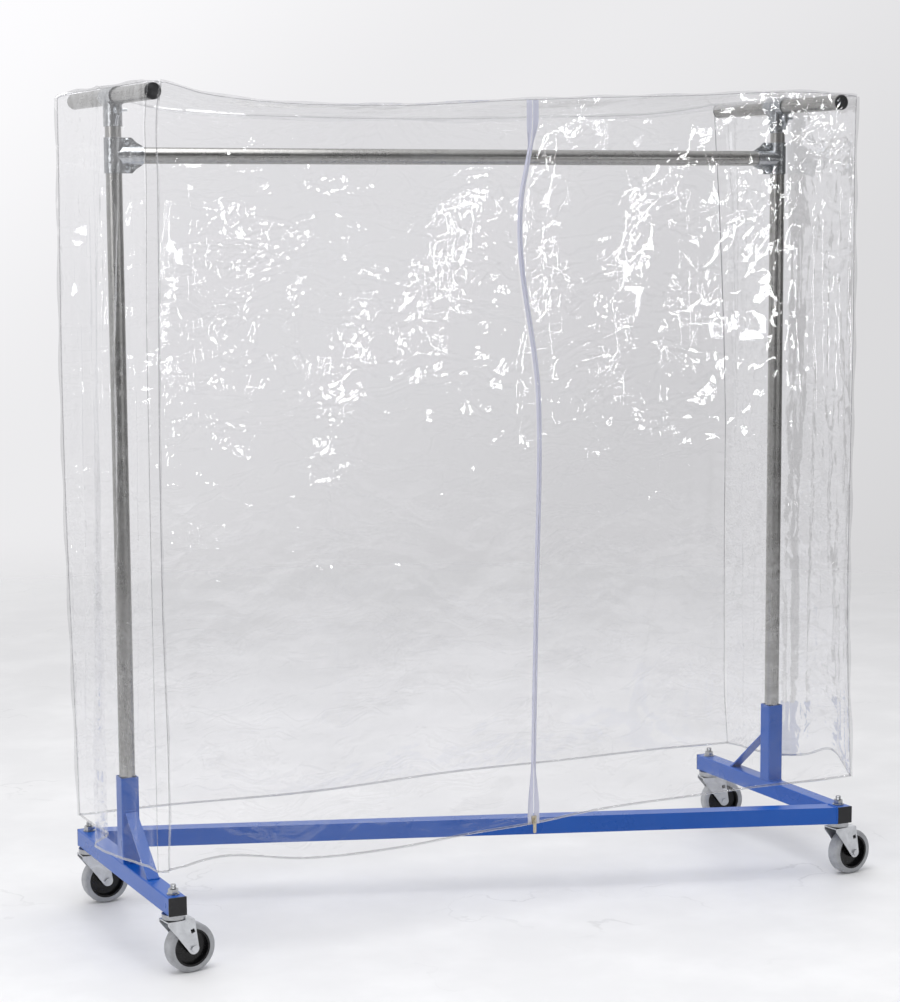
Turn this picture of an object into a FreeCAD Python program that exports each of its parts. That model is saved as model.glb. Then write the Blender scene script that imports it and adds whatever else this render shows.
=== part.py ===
"""Rolling garment rail with a clear zip-up cover.

A square-tube base on four swivel casters carries two round uprights, a hang rail and two
cover bars, joined by pressed tee clamps. A clear cover hangs over the cover bars.

X runs along the hang rail, Y from the zip side to the back and Z up from the floor. The
origin is on the floor under the middle of the base. All sizes are in millimetres.
"""
import FreeCAD, Part
import os
import re
import Sketcher

App = FreeCAD
V = App.Vector

SIZES = {
    # base frame: square tube, welded
    "tube_wall": 1.9,
    "socket_slack": 0.45,
    "tube_corner": 3.0,
    "base_length": 604.0,
    "cross_inset": 20.3,
    "cap_head": 3.0,
    "cap_plug": 14.0,
    "cap_round": 1.5,
    "socket_rise": 182.0,
    "brace_width": 25.4,
    "brace_plate": 3.2,
    "brace_run": 139.0,
    "brace_rise": 111.0,
    # upper frame: round tube
    "upright_spacing": 1600.0,
    "rail_height": 1630.0,
    "bar_rise": 118.0,
    "bar_length": 500.0,
    "round_side": 33.4,
    "round_wall": 1.7,
    "tube_gap": 0.5,
    "plug_head": 5.0,
    "plug_stub": 16.0,
    "plug_round": 2.5,
    "fit": 0.05,
    # pressed tee clamps and their bolts
    "clamp_wall": 2.6,
    "clamp_split": 1.0,
    "bolt_clear": 0.75,
    "bolt_edge": 8.4,
    "flange_edge": 18.4,
    "arm_edge": 32.4,
    "flange_cut": 8.0,
    "bolt_shank": 6.3,
    "bolt_head": 15.0,
    "bolt_dome": 3.8,
    "bolt_length": 24.0,
    "bolt_nut_flats": 11.1,
    "bolt_nut_height": 5.6,
    # casters
    "caster_clear": 23.4,
    "wheel_size": 101.6,
    "wheel_width": 32.0,
    "tyre_depth": 12.0,
    "tyre_round": 6.0,
    "hub_web": 9.0,
    "hub_boss": 24.0,
    "boss_proud": 2.2,
    "boss_gap": 0.8,
    "hub_rim": 5.0,
    "hub_inset": 1.0,
    "hub_draft": 1.0,
    "trail": 33.5,
    "fork_plate": 2.6,
    "fork_eye": 23.0,
    "fork_slot": 8.5,
    "slot_back": 1.9,
    "fork_nose": 2.9,
    "knee_back": 8.4,
    "knee_drop": 24.7,
    "crown_skirt": 7.8,
    "crown_size": 44.0,
    "race_size": 48.0,
    "race_plate": 4.0,
    "race_lip": 2.0,
    "ball_size": 8.2,
    "ball_clear": 0.15,
    "ball_ring": 30.0,
    "stem_size": 12.4,
    "stem_end_inset": 25.0,
    "stem_above": 20.5,
    "stem_pitch": 2.0,
    "stem_thread": 0.8,
    "rivet_size": 18.0,
    "rivet_height": 2.6,
    "washer_size": 26.0,
    "washer_plate": 2.0,
    "stem_nut_flats": 19.0,
    "stem_nut_height": 9.5,
    "axle_size": 8.0,
    "axle_head_flats": 12.5,
    "axle_head": 4.6,
    "bush_wall": 2.45,
    # clear cover
    "cover_overhang": 32.0,
    "cover_slack": 10.0,
    "cover_sheet": 0.5,
    "cover_clear": 0.5,
    "hem_height": 207.0,
    "zip_offset": 20.0,
    "zip_opening": 16.0,
    "tape_width": 13.0,
    "tape_sheet": 0.6,
    "coil_gap": 0.9,
    "coil_width": 2.1,
    "coil_depth": 2.4,
    "zip_top_margin": 26.0,
    "slider_width": 11.2,
    "slider_foot": 9.0,
    "slider_height": 18.0,
    "slider_depth": 6.6,
    "slider_clear": 0.35,
    "lug_width": 3.0,
    "lug_height": 8.0,
    "lug_reach": 3.8,
    "pull_pin": 2.2,
    "pull_width": 7.0,
    "pull_length": 28.0,
    "pull_plate": 1.6,
    "pull_eye": 6.0,
    "pull_corner": 2.0,
    "pin_inset": 0.5,
}
SWIVEL = {"front_left": 6.0, "front_right": 6.0, "rear_left": 0.0, "rear_right": -12.0}
EYE_MEETS = 216
SLOT_TURN = 17
BALLS = 10
THREADS = 8
NEAR = 0.01
WORDS = re.compile(r"[a-z][a-z_0-9]*")

doc = App.newDocument("garment_rail")
sheet = doc.addObject("Spreadsheet::Sheet", "Sizes")
for row, (name, size) in enumerate(SIZES.items(), start=1):
    sheet.set(f"A{row}", name)
    sheet.set(f"B{row}", str(size))
    sheet.setAlias(f"B{row}", name)
doc.recompute()

parts = []


def bound(rule):
    """A rule in size names, as an expression that reads the sheet."""
    return WORDS.sub(lambda m: f"Sizes.{m.group()}" if m.group() in SIZES else m.group(), str(rule))


def value(rule):
    """What a rule comes to now, in millimetres."""
    found = sheet.evalExpression(bound(rule))
    return float(getattr(found, "Value", found))


def tie(thing, field, rule):
    """Bind one property to the sheet."""
    thing.setExpression(field, bound(rule))


def place(thing, x=0, y=0, z=0, turn=None):
    """Put a piece at a point given by three rules."""
    thing.Placement = App.Placement(V(value(x), value(y), value(z)), turn or App.Rotation())
    for axis, rule in zip("xyz", (x, y, z)):
        tie(thing, f"Placement.Base.{axis}", rule)
    return thing


def keep(thing, label):
    """Name a finished sub-part and put it on the list of those to write."""
    thing.Label = label
    parts.append(thing)
    return thing


def new_body(name):
    return doc.addObject("PartDesign::Body", name)


def new_sketch(body, plane, shift=0):
    """An empty sketch on one of the body's own origin planes, moved along its normal."""
    sketch = body.newObject("Sketcher::SketchObject", "Sketch")
    sketch.AttachmentSupport = [(next(f for f in body.Origin.OriginFeatures if f.Role == plane), "")]
    sketch.MapMode = "FlatFace"
    if shift:
        tie(sketch, "AttachmentOffset.Base.z", shift)
    return sketch


def pin_point(sketch, where, across, along):
    """Hold one point of a sketch at a place given by two rules."""
    for kind, rule in (("DistanceX", across), ("DistanceY", along)):
        held = sketch.addConstraint(Sketcher.Constraint(kind, -1, 1, *where, value(rule)))
        sketch.setExpression(f"Constraints[{held}]", bound(rule))


def polygon(sketch, *points):
    """A closed outline through points, each one a pair of rules."""
    flat = [V(value(a), value(b), 0) for a, b in points]
    first = sketch.GeometryCount
    for start, end in zip(flat, flat[1:] + flat[:1]):
        sketch.addGeometry(Part.LineSegment(start, end))
    count = len(flat)
    for side in range(count):
        joined = first + (side + 1) % count
        sketch.addConstraint(Sketcher.Constraint("Coincident", first + side, 2, joined, 1))
        pin_point(sketch, (first + side, 1), *points[side])


def rectangle(sketch, low_a, low_b, high_a, high_b):
    polygon(sketch, (low_a, low_b), (high_a, low_b), (high_a, high_b), (low_a, high_b))


def square(sketch, side):
    half = f"({side}) / 2"
    rectangle(sketch, f"-{half}", f"-{half}", half, half)


def circle(sketch, size, across=0, along=0):
    """A circle of a given diameter."""
    centre = V(value(across), value(along), 0)
    ring = sketch.addGeometry(Part.Circle(centre, V(0, 0, 1), value(size) / 2))
    pin_point(sketch, (ring, 3), across, along)
    diameter = sketch.addConstraint(Sketcher.Constraint("Diameter", ring, value(size)))
    sketch.setExpression(f"Constraints[{diameter}]", bound(size))


def pad(body, sketch, length, middle=False, back=False):
    """Add material from a sketch, one way or equally both ways."""
    feature = body.newObject("PartDesign::Pad", "Pad")
    feature.Profile = sketch
    feature.Midplane = middle
    feature.Reversed = back
    tie(feature, "Length", length)
    doc.recompute()
    return feature


def pocket(body, sketch, length, middle=False, back=False):
    """Take material away, and make sure that some went."""
    before = body.Shape.Volume
    feature = body.newObject("PartDesign::Pocket", "Pocket")
    feature.Profile = sketch
    feature.Midplane = middle
    feature.Reversed = back
    tie(feature, "Length", length)
    doc.recompute()
    if body.Shape.Volume > before - 1e-3:
        raise RuntimeError(f"a pocket in {body.Name} cut nothing")
    return feature


def revolve(body, sketch):
    """A full turn about the sketch's vertical axis."""
    feature = body.newObject("PartDesign::Revolution", "Revolution")
    feature.Profile = sketch
    feature.ReferenceAxis = (sketch, ["V_Axis"])
    feature.Angle = 360
    doc.recompute()
    return feature


def round_edges(body, radius, chosen):
    """Fillet the edges of the body's tip that a test picks."""
    tip = body.Tip
    names = [f"Edge{n}" for n, edge in enumerate(tip.Shape.Edges, start=1) if chosen(edge)]
    if not names:
        raise RuntimeError(f"no edge to round on {body.Name}")
    feature = body.newObject("PartDesign::Fillet", "Fillet")
    feature.Base = (tip, names)
    tie(feature, "Radius", radius)
    doc.recompute()
    return feature


def runs_along(edge, axis):
    """Whether an edge is straight and parallel to X, Y or Z."""
    if len(edge.Vertexes) != 2 or edge.Curve.TypeId != "Part::GeomLine":
        return False
    direction = (edge.Vertexes[1].Point - edge.Vertexes[0].Point).normalize()
    return abs(direction[axis]) > 0.999


def group(name, members):
    """Separate like solids that share one sub-part."""
    bundle = doc.addObject("Part::Compound", name)
    bundle.Links = members
    return bundle


def hollow_nut(name, flats, height, bore):
    """A plain hexagon nut about Z, standing on the XY plane."""
    block = doc.addObject("Part::Prism", name + "_hexagon")
    block.Polygon = 6
    tie(block, "Circumradius", f"({flats}) / (2 * cos(30))")
    tie(block, "Height", height)
    hole = doc.addObject("Part::Cylinder", name + "_bore")
    tie(hole, "Radius", f"({bore}) / 2")
    tie(hole, "Height", height)
    nut = doc.addObject("Part::Cut", name)
    nut.Base = block
    nut.Tool = hole
    return nut


TUBE_SIDE = "(round_side + 2 * socket_slack + 2 * tube_wall)"
HALF_SPACING = "upright_spacing / 2"
CASTER_HEIGHT = "(wheel_size + caster_clear)"
BASE_TOP = f"({CASTER_HEIGHT} + {TUBE_SIDE})"
TUBE_Z = f"({CASTER_HEIGHT} + {TUBE_SIDE} / 2)"
BAR_HEIGHT = "(rail_height + bar_rise)"
STEM_Y = "(base_length / 2 - stem_end_inset)"
SIDES = {"left": f"-{HALF_SPACING}", "right": HALF_SPACING}
BORE_SIDE = "(round_side + 2 * socket_slack)"


# ---------------------------------------------------------------- base frame
def side_tube(label, x):
    """Square tube along Y, drilled through for two caster stems."""
    body = new_body(label)
    section = new_sketch(body, "XZ_Plane")
    square(section, TUBE_SIDE)
    square(section, BORE_SIDE)
    pad(body, section, "base_length", middle=True)
    corner = value(f"{TUBE_SIDE} / 2") - NEAR
    round_edges(
        body,
        "tube_corner",
        lambda e: runs_along(e, 1) and min(abs(e.CenterOfMass.x), abs(e.CenterOfMass.z)) > corner,
    )
    holes = new_sketch(body, "XY_Plane")
    for end in (f"-{STEM_Y}", STEM_Y):
        circle(holes, "stem_size + 2 * fit", 0, end)
    pocket(body, holes, f"2 * {TUBE_SIDE}", middle=True)
    place(body, x, 0, TUBE_Z)
    keep(body, label)


def crossbar():
    """Square tube on the diagonal, mitred to the inner faces of the side tubes."""
    body = new_body("crossbar")
    reach = f"({HALF_SPACING} - {TUBE_SIDE} / 2)"
    rise = "(base_length / 2 - cross_inset)"
    slant = f"atan({rise} / {reach})"
    outer = f"{TUBE_SIDE} / (2 * cos({slant}))"
    inner = f"{BORE_SIDE} / (2 * cos({slant}))"

    def plan(shift, half):
        sketch = new_sketch(body, "XY_Plane", shift)
        polygon(
            sketch,
            (f"-{reach}", f"{rise} - {half}"),
            (reach, f"-{rise} - {half}"),
            (reach, f"-{rise} + {half}"),
            (f"-{reach}", f"{rise} + {half}"),
        )
        return sketch

    pad(body, plan(0, outer), TUBE_SIDE)
    pocket(body, plan("tube_wall", inner), BORE_SIDE, back=True)
    place(body, 0, 0, CASTER_HEIGHT)
    keep(body, "crossbar")


def socket(label, x):
    """Upright square tube that holds the foot of a round upright."""
    body = new_body(label)
    section = new_sketch(body, "XY_Plane")
    square(section, TUBE_SIDE)
    square(section, BORE_SIDE)
    pad(body, section, "socket_rise")
    corner = value(f"{TUBE_SIDE} / 2") - NEAR
    round_edges(
        body,
        "tube_corner",
        lambda e: runs_along(e, 2) and min(abs(e.CenterOfMass.x), abs(e.CenterOfMass.y)) > corner,
    )
    place(body, x, 0, BASE_TOP)
    keep(body, label)


def brace(label, x, way):
    """Flat bar from the socket down to the side tube, welded at both ends."""
    body = new_body(label)
    outline = new_sketch(body, "YZ_Plane")
    slope = "atan(brace_rise / brace_run)"
    face = f"{TUBE_SIDE} / 2"
    polygon(
        outline,
        (face, "brace_rise"),
        (f"{face} + brace_run", "0"),
        (f"{face} + brace_run - brace_plate / sin({slope})", "0"),
        (face, f"brace_rise - brace_plate / cos({slope})"),
    )
    pad(body, outline, "brace_width", middle=True)
    place(body, x, 0, BASE_TOP, App.Rotation(V(0, 0, 1), way))
    keep(body, label)


def end_cap(name, x, end):
    """Square plastic plug with a thin head, pressed into the end of a side tube."""
    body = new_body(name)
    head = new_sketch(body, "XZ_Plane")
    square(head, TUBE_SIDE)
    pad(body, head, "cap_head")
    edge = value(f"{TUBE_SIDE} / 2") - NEAR
    round_edges(
        body,
        "cap_round",
        lambda e: e.CenterOfMass.y < -value("cap_head") + NEAR
        or (runs_along(e, 1) and min(abs(e.CenterOfMass.x), abs(e.CenterOfMass.z)) > edge),
    )
    stub = new_sketch(body, "XZ_Plane")
    square(stub, f"{BORE_SIDE} - 2 * fit")
    pad(body, stub, "cap_plug", back=True)
    turn = App.Rotation(V(0, 0, 1), 0 if end < 0 else 180)
    return place(body, x, f"{end} * base_length / 2", TUBE_Z, turn)


for side, x in SIDES.items():
    side_tube(side + "_side_tube", x)
    socket(side + "_socket", x)
crossbar()
brace("left_brace", SIDES["left"], 180)
brace("right_brace", SIDES["right"], 0)
caps = [end_cap(f"{side}_cap_{n}", x, end) for side, x in SIDES.items() for n, end in enumerate((-1, 1))]
keep(group("base_end_caps", caps), "base_end_caps")


# ---------------------------------------------------------------- upper frame
def round_tube(label, plane, length, x=0, y=0, z=0, middle=False):
    body = new_body(label)
    section = new_sketch(body, plane)
    circle(section, "round_side")
    circle(section, "round_side - 2 * round_wall")
    pad(body, section, length, middle=middle)
    place(body, x, y, z)
    keep(body, label)


def bar_plug(name, x, end):
    """Round plastic plug with a domed rim, pressed into the end of a cover bar."""
    body = new_body(name)
    head = new_sketch(body, "XZ_Plane")
    circle(head, "round_side")
    pad(body, head, "plug_head")
    round_edges(body, "plug_round", lambda e: e.CenterOfMass.y < -value("plug_head") + NEAR)
    stub = new_sketch(body, "XZ_Plane")
    circle(stub, "round_side - 2 * round_wall - 2 * fit")
    pad(body, stub, "plug_stub", back=True)
    turn = App.Rotation(V(0, 0, 1), 0 if end < 0 else 180)
    return place(body, x, f"{end} * bar_length / 2", BAR_HEIGHT, turn)


for side, x in SIDES.items():
    foot_to_bar = f"{BAR_HEIGHT} - round_side / 2 - tube_gap - {BASE_TOP}"
    round_tube(side + "_upright", "XY_Plane", foot_to_bar, x=x, z=BASE_TOP)
    round_tube(side + "_cover_bar", "XZ_Plane", "bar_length", x=x, z=BAR_HEIGHT, middle=True)
round_tube(
    "hang_rail", "YZ_Plane", "upright_spacing - round_side - 2 * tube_gap", z="rail_height", middle=True
)
plugs = [bar_plug(f"{side}_plug_{n}", x, end) for side, x in SIDES.items() for n, end in enumerate((-1, 1))]
keep(group("cover_bar_plugs", plugs), "cover_bar_plugs")

# ---------------------------------------------------------------- tee clamps
CLAMP_BORE = "(round_side + 2 * fit)"
CLAMP_OUT = f"({CLAMP_BORE} + 2 * clamp_wall)"
CLAMP_RADIUS = f"{CLAMP_OUT} / 2"
FLANGE_FACE = "(clamp_split / 2 + clamp_wall)"
BOLT_OFFSET = f"({CLAMP_RADIUS} + bolt_head / 2 + bolt_clear)"
CLAMP_HALF_RUN = f"({BOLT_OFFSET} + bolt_edge)"
CLAMP_RUN = f"2 * {CLAMP_HALF_RUN}"
CLAMP_ARM = f"({BOLT_OFFSET} + arm_edge)"
FLANGE_REACH = f"({BOLT_OFFSET} + flange_edge)"
BOLT_SPOTS = [(BOLT_OFFSET, BOLT_OFFSET), (BOLT_OFFSET, f"-{BOLT_OFFSET}")]


def clamp_half(label, x, z, turn):
    """One pressed half of a tee clamp: half sleeves on the run and the arm, and a bolted flange."""
    body = new_body(label)
    run = new_sketch(body, "XY_Plane")
    circle(run, CLAMP_OUT)
    pad(body, run, CLAMP_RUN, middle=True)
    arm = new_sketch(body, "YZ_Plane")
    circle(arm, CLAMP_OUT)
    pad(body, arm, CLAMP_ARM)
    flange = new_sketch(body, "XZ_Plane")
    polygon(
        flange,
        (0, f"-{CLAMP_HALF_RUN}"),
        (f"{FLANGE_REACH} - flange_cut", f"-{CLAMP_HALF_RUN}"),
        (FLANGE_REACH, f"flange_cut - {CLAMP_HALF_RUN}"),
        (CLAMP_ARM, f"-{CLAMP_RADIUS}"),
        (CLAMP_ARM, CLAMP_RADIUS),
        (FLANGE_REACH, f"{CLAMP_HALF_RUN} - flange_cut"),
        (f"{FLANGE_REACH} - flange_cut", CLAMP_HALF_RUN),
        (0, CLAMP_HALF_RUN),
    )
    pad(body, flange, f"2 * {FLANGE_FACE}", middle=True)
    run_bore = new_sketch(body, "XY_Plane")
    circle(run_bore, CLAMP_BORE)
    pocket(body, run_bore, f"2 * {CLAMP_RUN}", middle=True)
    arm_bore = new_sketch(body, "YZ_Plane")
    circle(arm_bore, CLAMP_BORE)
    pocket(body, arm_bore, CLAMP_ARM, back=True)
    holes = new_sketch(body, "XZ_Plane")
    for across, along in BOLT_SPOTS:
        circle(holes, "bolt_shank + 2 * fit", across, along)
    pocket(body, holes, CLAMP_RUN, middle=True)
    other_half = new_sketch(body, "XY_Plane")
    far = f"2 * {CLAMP_ARM}"
    rectangle(other_half, f"-{CLAMP_RUN}", "-clamp_split / 2", far, CLAMP_RUN)
    pocket(body, other_half, f"2 * {CLAMP_RUN}", middle=True)
    place(body, x, 0, z, turn)
    keep(body, label)


def carriage_bolt(name):
    """Domed bolt about Z: the head's underside is on the XY plane and the shank runs down."""
    body = new_body(name)
    profile = new_sketch(body, "XZ_Plane")
    steps = 5
    dome = []
    for step in range(steps):
        angle = 90 * step / steps
        dome.append((f"bolt_head / 2 * cos({angle})", f"bolt_dome * sin({angle})"))
    side = "bolt_shank / 2"
    shank = [(0, "bolt_dome"), (0, "-bolt_length"), (side, "-bolt_length"), (side, 0)]
    polygon(profile, *dome, *shank)
    revolve(body, profile)
    return body


HALF_TURN = App.Rotation(V(1, 0, 0), 180)
RUN_UP = {"left": App.Rotation(), "right": App.Rotation(V(0, 0, 1), 180)}
RUN_BACK = App.Rotation(V(0, 0, -1), V(-1, 0, 0), V(0, 1, 0), "ZXY")
clamp_bolts = []
clamp_nuts = []


def tee_clamp(front_label, back_label, x, z, turn, heads):
    """Two halves about one joint of two tubes, with two bolts whose heads are on one side."""
    clamp_half(front_label, x, z, turn)
    clamp_half(back_label, x, z, turn.multiply(HALF_TURN))
    joint = V(value(x), 0, value(z))
    outward = App.Rotation(V(0, 0, 1), V(0, heads, 0))
    inward = App.Rotation(V(0, 0, 1), V(0, -heads, 0))
    for across, along in BOLT_SPOTS:
        spot = V(value(across), heads * value(FLANGE_FACE), value(along))
        far = V(value(across), -heads * value(FLANGE_FACE), value(along))
        bolt = carriage_bolt(f"clamp_bolt_{len(clamp_bolts)}")
        name = f"clamp_nut_{len(clamp_nuts)}"
        nut = hollow_nut(name, "bolt_nut_flats", "bolt_nut_height", "bolt_shank + 2 * fit")
        bolt.Placement = App.Placement(joint + turn.multVec(spot), turn.multiply(outward))
        nut.Placement = App.Placement(joint + turn.multVec(far), turn.multiply(inward))
        clamp_bolts.append(bolt)
        clamp_nuts.append(nut)


for side, x in SIDES.items():
    names = (f"{side}_rail_clamp_front", f"{side}_rail_clamp_back")
    if side == "right":
        names = names[::-1]
    tee_clamp(*names, x, "rail_height", RUN_UP[side], -1 if side == "left" else 1)
    tee_clamp(f"{side}_bar_clamp_right", f"{side}_bar_clamp_left", x, BAR_HEIGHT, RUN_BACK, 1)
keep(group("clamp_bolts", clamp_bolts), "clamp_bolts")
keep(group("clamp_nuts", clamp_nuts), "clamp_nuts")

# ---------------------------------------------------------------- casters
AXLE_Z = "wheel_size / 2"
RACE_FACE = f"({CASTER_HEIGHT} - race_plate)"
CROWN_TOP = f"({RACE_FACE} - ball_size - 2 * ball_clear)"
BOSS_WIDTH = "(wheel_width + 2 * boss_proud)"
FORK_GAP = f"({BOSS_WIDTH} + 2 * boss_gap)"
FORK_OUT = f"({FORK_GAP} + 2 * fork_plate)"
BUSH_BORE = "(axle_size + 2 * fit)"
BUSH_SIZE = f"({BUSH_BORE} + 2 * bush_wall)"
CORNERS = {
    "front_left": (SIDES["left"], f"-{STEM_Y}"),
    "front_right": (SIDES["right"], f"-{STEM_Y}"),
    "rear_left": (SIDES["left"], STEM_Y),
    "rear_right": (SIDES["right"], STEM_Y),
}
caster_nuts = []
caster_washers = []
caster_balls = []


def caster_stem(label):
    """Threaded stem, riveted through the fork's crown, with the upper ball race pressed on it."""
    body = new_body(label)
    profile = new_sketch(body, "XZ_Plane")
    shank = "stem_size / 2"
    race = "race_size / 2"
    under = f"({CROWN_TOP} - fork_plate)"
    tip = f"({BASE_TOP} + stem_above)"
    outline = [
        (0, f"{under} - rivet_height"),
        ("rivet_size / 2", f"{under} - rivet_height"),
        ("rivet_size / 2", f"{under} - fit"),
        (shank, f"{under} - fit"),
        (shank, RACE_FACE),
        (f"{race} - race_lip", RACE_FACE),
        (f"{race} - race_lip", f"{CROWN_TOP} + fork_plate"),
        (race, f"{CROWN_TOP} + fork_plate"),
        (race, CASTER_HEIGHT),
        (shank, CASTER_HEIGHT),
    ]
    for turn in range(THREADS, 0, -1):
        crest = f"{tip} - {turn} * stem_pitch"
        outline.append((shank, crest))
        outline.append((f"{shank} - stem_thread", f"{crest} + stem_pitch / 2"))
    outline += [(f"{shank} - stem_thread", tip), (0, tip)]
    polygon(profile, *outline)
    revolve(body, profile)
    return body


def fork(label):
    """Pressed yoke: a round crown over two tapered legs that hold the axle."""
    body = new_body(label)
    eye = "fork_eye / 2"
    legs = new_sketch(body, "XZ_Plane")
    polygon(
        legs,
        ("-crown_size / 2", CROWN_TOP),
        ("trail + fork_nose", CROWN_TOP),
        (f"trail + {eye}", AXLE_Z),
        (f"trail + {eye} * cos({EYE_MEETS})", f"{AXLE_Z} + {eye} * sin({EYE_MEETS})"),
        ("-knee_back", f"{CROWN_TOP} - knee_drop"),
        ("-crown_size / 2", f"{CROWN_TOP} - crown_skirt"),
    )
    pad(body, legs, FORK_OUT, middle=True)
    eyes = new_sketch(body, "XZ_Plane")
    circle(eyes, "fork_eye", "trail", AXLE_Z)
    pad(body, eyes, FORK_OUT, middle=True)
    gap = new_sketch(body, "YZ_Plane")
    rectangle(gap, f"-{FORK_GAP} / 2", 0, f"{FORK_GAP} / 2", f"{CROWN_TOP} - fork_plate")
    pocket(body, gap, "4 * wheel_size", middle=True)
    crown = new_sketch(body, "XY_Plane", CROWN_TOP)
    circle(crown, "crown_size")
    pad(body, crown, "fork_plate", back=True)
    bore = new_sketch(body, "XY_Plane", f"{CROWN_TOP} + fork_plate")
    circle(bore, "stem_size + 2 * fit")
    pocket(body, bore, "3 * fork_plate")
    holes = new_sketch(body, "XZ_Plane")
    circle(holes, "axle_size + 2 * fit", "trail", AXLE_Z)
    slot = []
    for corner in range(4):
        angle = 90 * corner + 45 + SLOT_TURN
        across = f"trail - slot_back + fork_slot / sqrt(2) * cos({angle})"
        slot.append((across, f"{CROWN_TOP} - knee_drop + fork_slot / sqrt(2) * sin({angle})"))
    polygon(holes, *slot)
    pocket(body, holes, "2 * wheel_width", middle=True)
    return body


def turned_ring(label, outline):
    """A piece of revolution about the axle, from half of its section."""
    body = new_body(label)
    profile = new_sketch(body, "YZ_Plane")
    polygon(profile, *outline)
    feature = body.newObject("PartDesign::Revolution", "Revolution")
    feature.Profile = profile
    feature.ReferenceAxis = (profile, ["H_Axis"])
    feature.Angle = 360
    doc.recompute()
    return body


def tyre_outline():
    """Half section of the tyre, with round shoulders."""
    outer = "wheel_size / 2"
    side = "wheel_width / 2"
    inner = f"{outer} - tyre_depth"
    outline = [(f"-{side}", inner)]
    for way, angles in ((-1, (0, 30, 60, 90)), (1, (90, 60, 30, 0))):
        for angle in angles:
            outline.append(
                (
                    f"{way} * ({side} - tyre_round + tyre_round * cos({angle}))",
                    f"{outer} - tyre_round + tyre_round * sin({angle})",
                )
            )
    outline.append((side, inner))
    return outline


def hub_outline():
    """Half section of the wheel core: rim, web and boss, bored to run on the bush."""
    outer = "wheel_size / 2 - tyre_depth"
    rim = "wheel_width / 2 - hub_inset"
    web = "hub_web / 2"
    boss = f"{BOSS_WIDTH} / 2"
    bore = f"{BUSH_SIZE} / 2 + fit"
    half = [
        (boss, bore),
        (boss, "hub_boss / 2"),
        (web, "hub_boss / 2 + hub_draft"),
        (web, f"{outer} - hub_rim"),
        (rim, f"{outer} - hub_rim + hub_draft"),
        (rim, outer),
    ]
    mirrored = [(f"-({across})", along) for across, along in reversed(half)]
    return half + mirrored


def axle_set(name):
    """Axle bolt and its nut, outside the two legs."""
    half = f"{FORK_OUT} / 2"
    shank = doc.addObject("Part::Cylinder", name + "_shank")
    tie(shank, "Radius", "axle_size / 2")
    tie(shank, "Height", f"{FORK_OUT} + axle_head + axle_head")
    place(shank, 0, f"{half} + axle_head", 0, App.Rotation(V(1, 0, 0), 90))
    head = doc.addObject("Part::Prism", name + "_head")
    head.Polygon = 6
    tie(head, "Circumradius", "axle_head_flats / (2 * cos(30))")
    tie(head, "Height", "axle_head")
    place(head, 0, f"-{half}", 0, App.Rotation(V(1, 0, 0), 90))
    bolt = doc.addObject("Part::Fuse", name + "_bolt")
    bolt.Base = shank
    bolt.Tool = head
    nut = hollow_nut(name + "_nut", "axle_head_flats", "axle_head", "axle_size + 2 * fit")
    place(nut, 0, f"{half} + axle_head", 0, App.Rotation(V(1, 0, 0), 90))
    return group(name, [bolt, nut])


def bush(name):
    """Steel spacer between the legs, on which the wheel turns."""
    body = new_body(name)
    section = new_sketch(body, "XZ_Plane")
    circle(section, BUSH_SIZE)
    circle(section, BUSH_BORE)
    pad(body, section, FORK_GAP, middle=True)
    return body


def caster(corner, x, y, swivel):
    """One swivel caster, its wheel trailing the stem at the given angle."""
    turn = App.Rotation(V(0, 0, 1), swivel)
    along = f"({x}) + trail * cos({swivel})"
    aside = f"({y}) + trail * sin({swivel})"
    keep(place(caster_stem(corner + "_stem"), x, y, 0, turn), corner + "_stem")
    keep(place(fork(corner + "_fork"), x, y, 0, turn), corner + "_fork")
    on_axle = (
        (axle_set(corner + "_axle"), "_axle"),
        (bush(corner + "_bush"), "_bush"),
        (turned_ring(corner + "_hub", hub_outline()), "_hub"),
        (turned_ring(corner + "_tyre", tyre_outline()), "_tyre"),
    )
    for piece, ending in on_axle:
        keep(place(piece, along, aside, AXLE_Z, turn), corner + ending)


for corner, (x, y) in CORNERS.items():
    caster(corner, x, y, SWIVEL[corner])
    nut = hollow_nut(f"stem_nut_{corner}", "stem_nut_flats", "stem_nut_height", "stem_size + 2 * fit")
    place(nut, x, y, f"{BASE_TOP} + washer_plate")
    washer = new_body(f"stem_washer_{corner}")
    ring = new_sketch(washer, "XY_Plane")
    circle(ring, "washer_size")
    circle(ring, "stem_size + 2 * fit")
    pad(washer, ring, "washer_plate")
    place(washer, x, y, BASE_TOP)
    caster_nuts.append(nut)
    caster_washers.append(washer)
    for n in range(BALLS):
        ball = doc.addObject("Part::Sphere", f"ball_{corner}_{n}")
        tie(ball, "Radius", "ball_size / 2")
        angle = 360 * n / BALLS
        place(
            ball,
            f"({x}) + ball_ring / 2 * cos({angle})",
            f"({y}) + ball_ring / 2 * sin({angle})",
            f"({RACE_FACE} + {CROWN_TOP}) / 2",
        )
        caster_balls.append(ball)
keep(group("caster_nuts", caster_nuts), "caster_nuts")
keep(group("caster_washers", caster_washers), "caster_washers")
keep(group("caster_balls", caster_balls), "caster_balls")

# ---------------------------------------------------------------- clear cover
COVER_TOP = f"({BAR_HEIGHT} + {CLAMP_RADIUS} + cover_clear)"
COVER_WIDTH = "(upright_spacing + 2 * cover_overhang)"
COVER_DEPTH = "(bar_length + 2 * plug_head + 2 * cover_slack)"
WALL = f"({COVER_TOP} - hem_height)"
HALF_W = f"{COVER_WIDTH} / 2"
HALF_D = f"{COVER_DEPTH} / 2"
ZIP_Y = f"(-{HALF_D} - tape_sheet / 2)"


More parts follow.
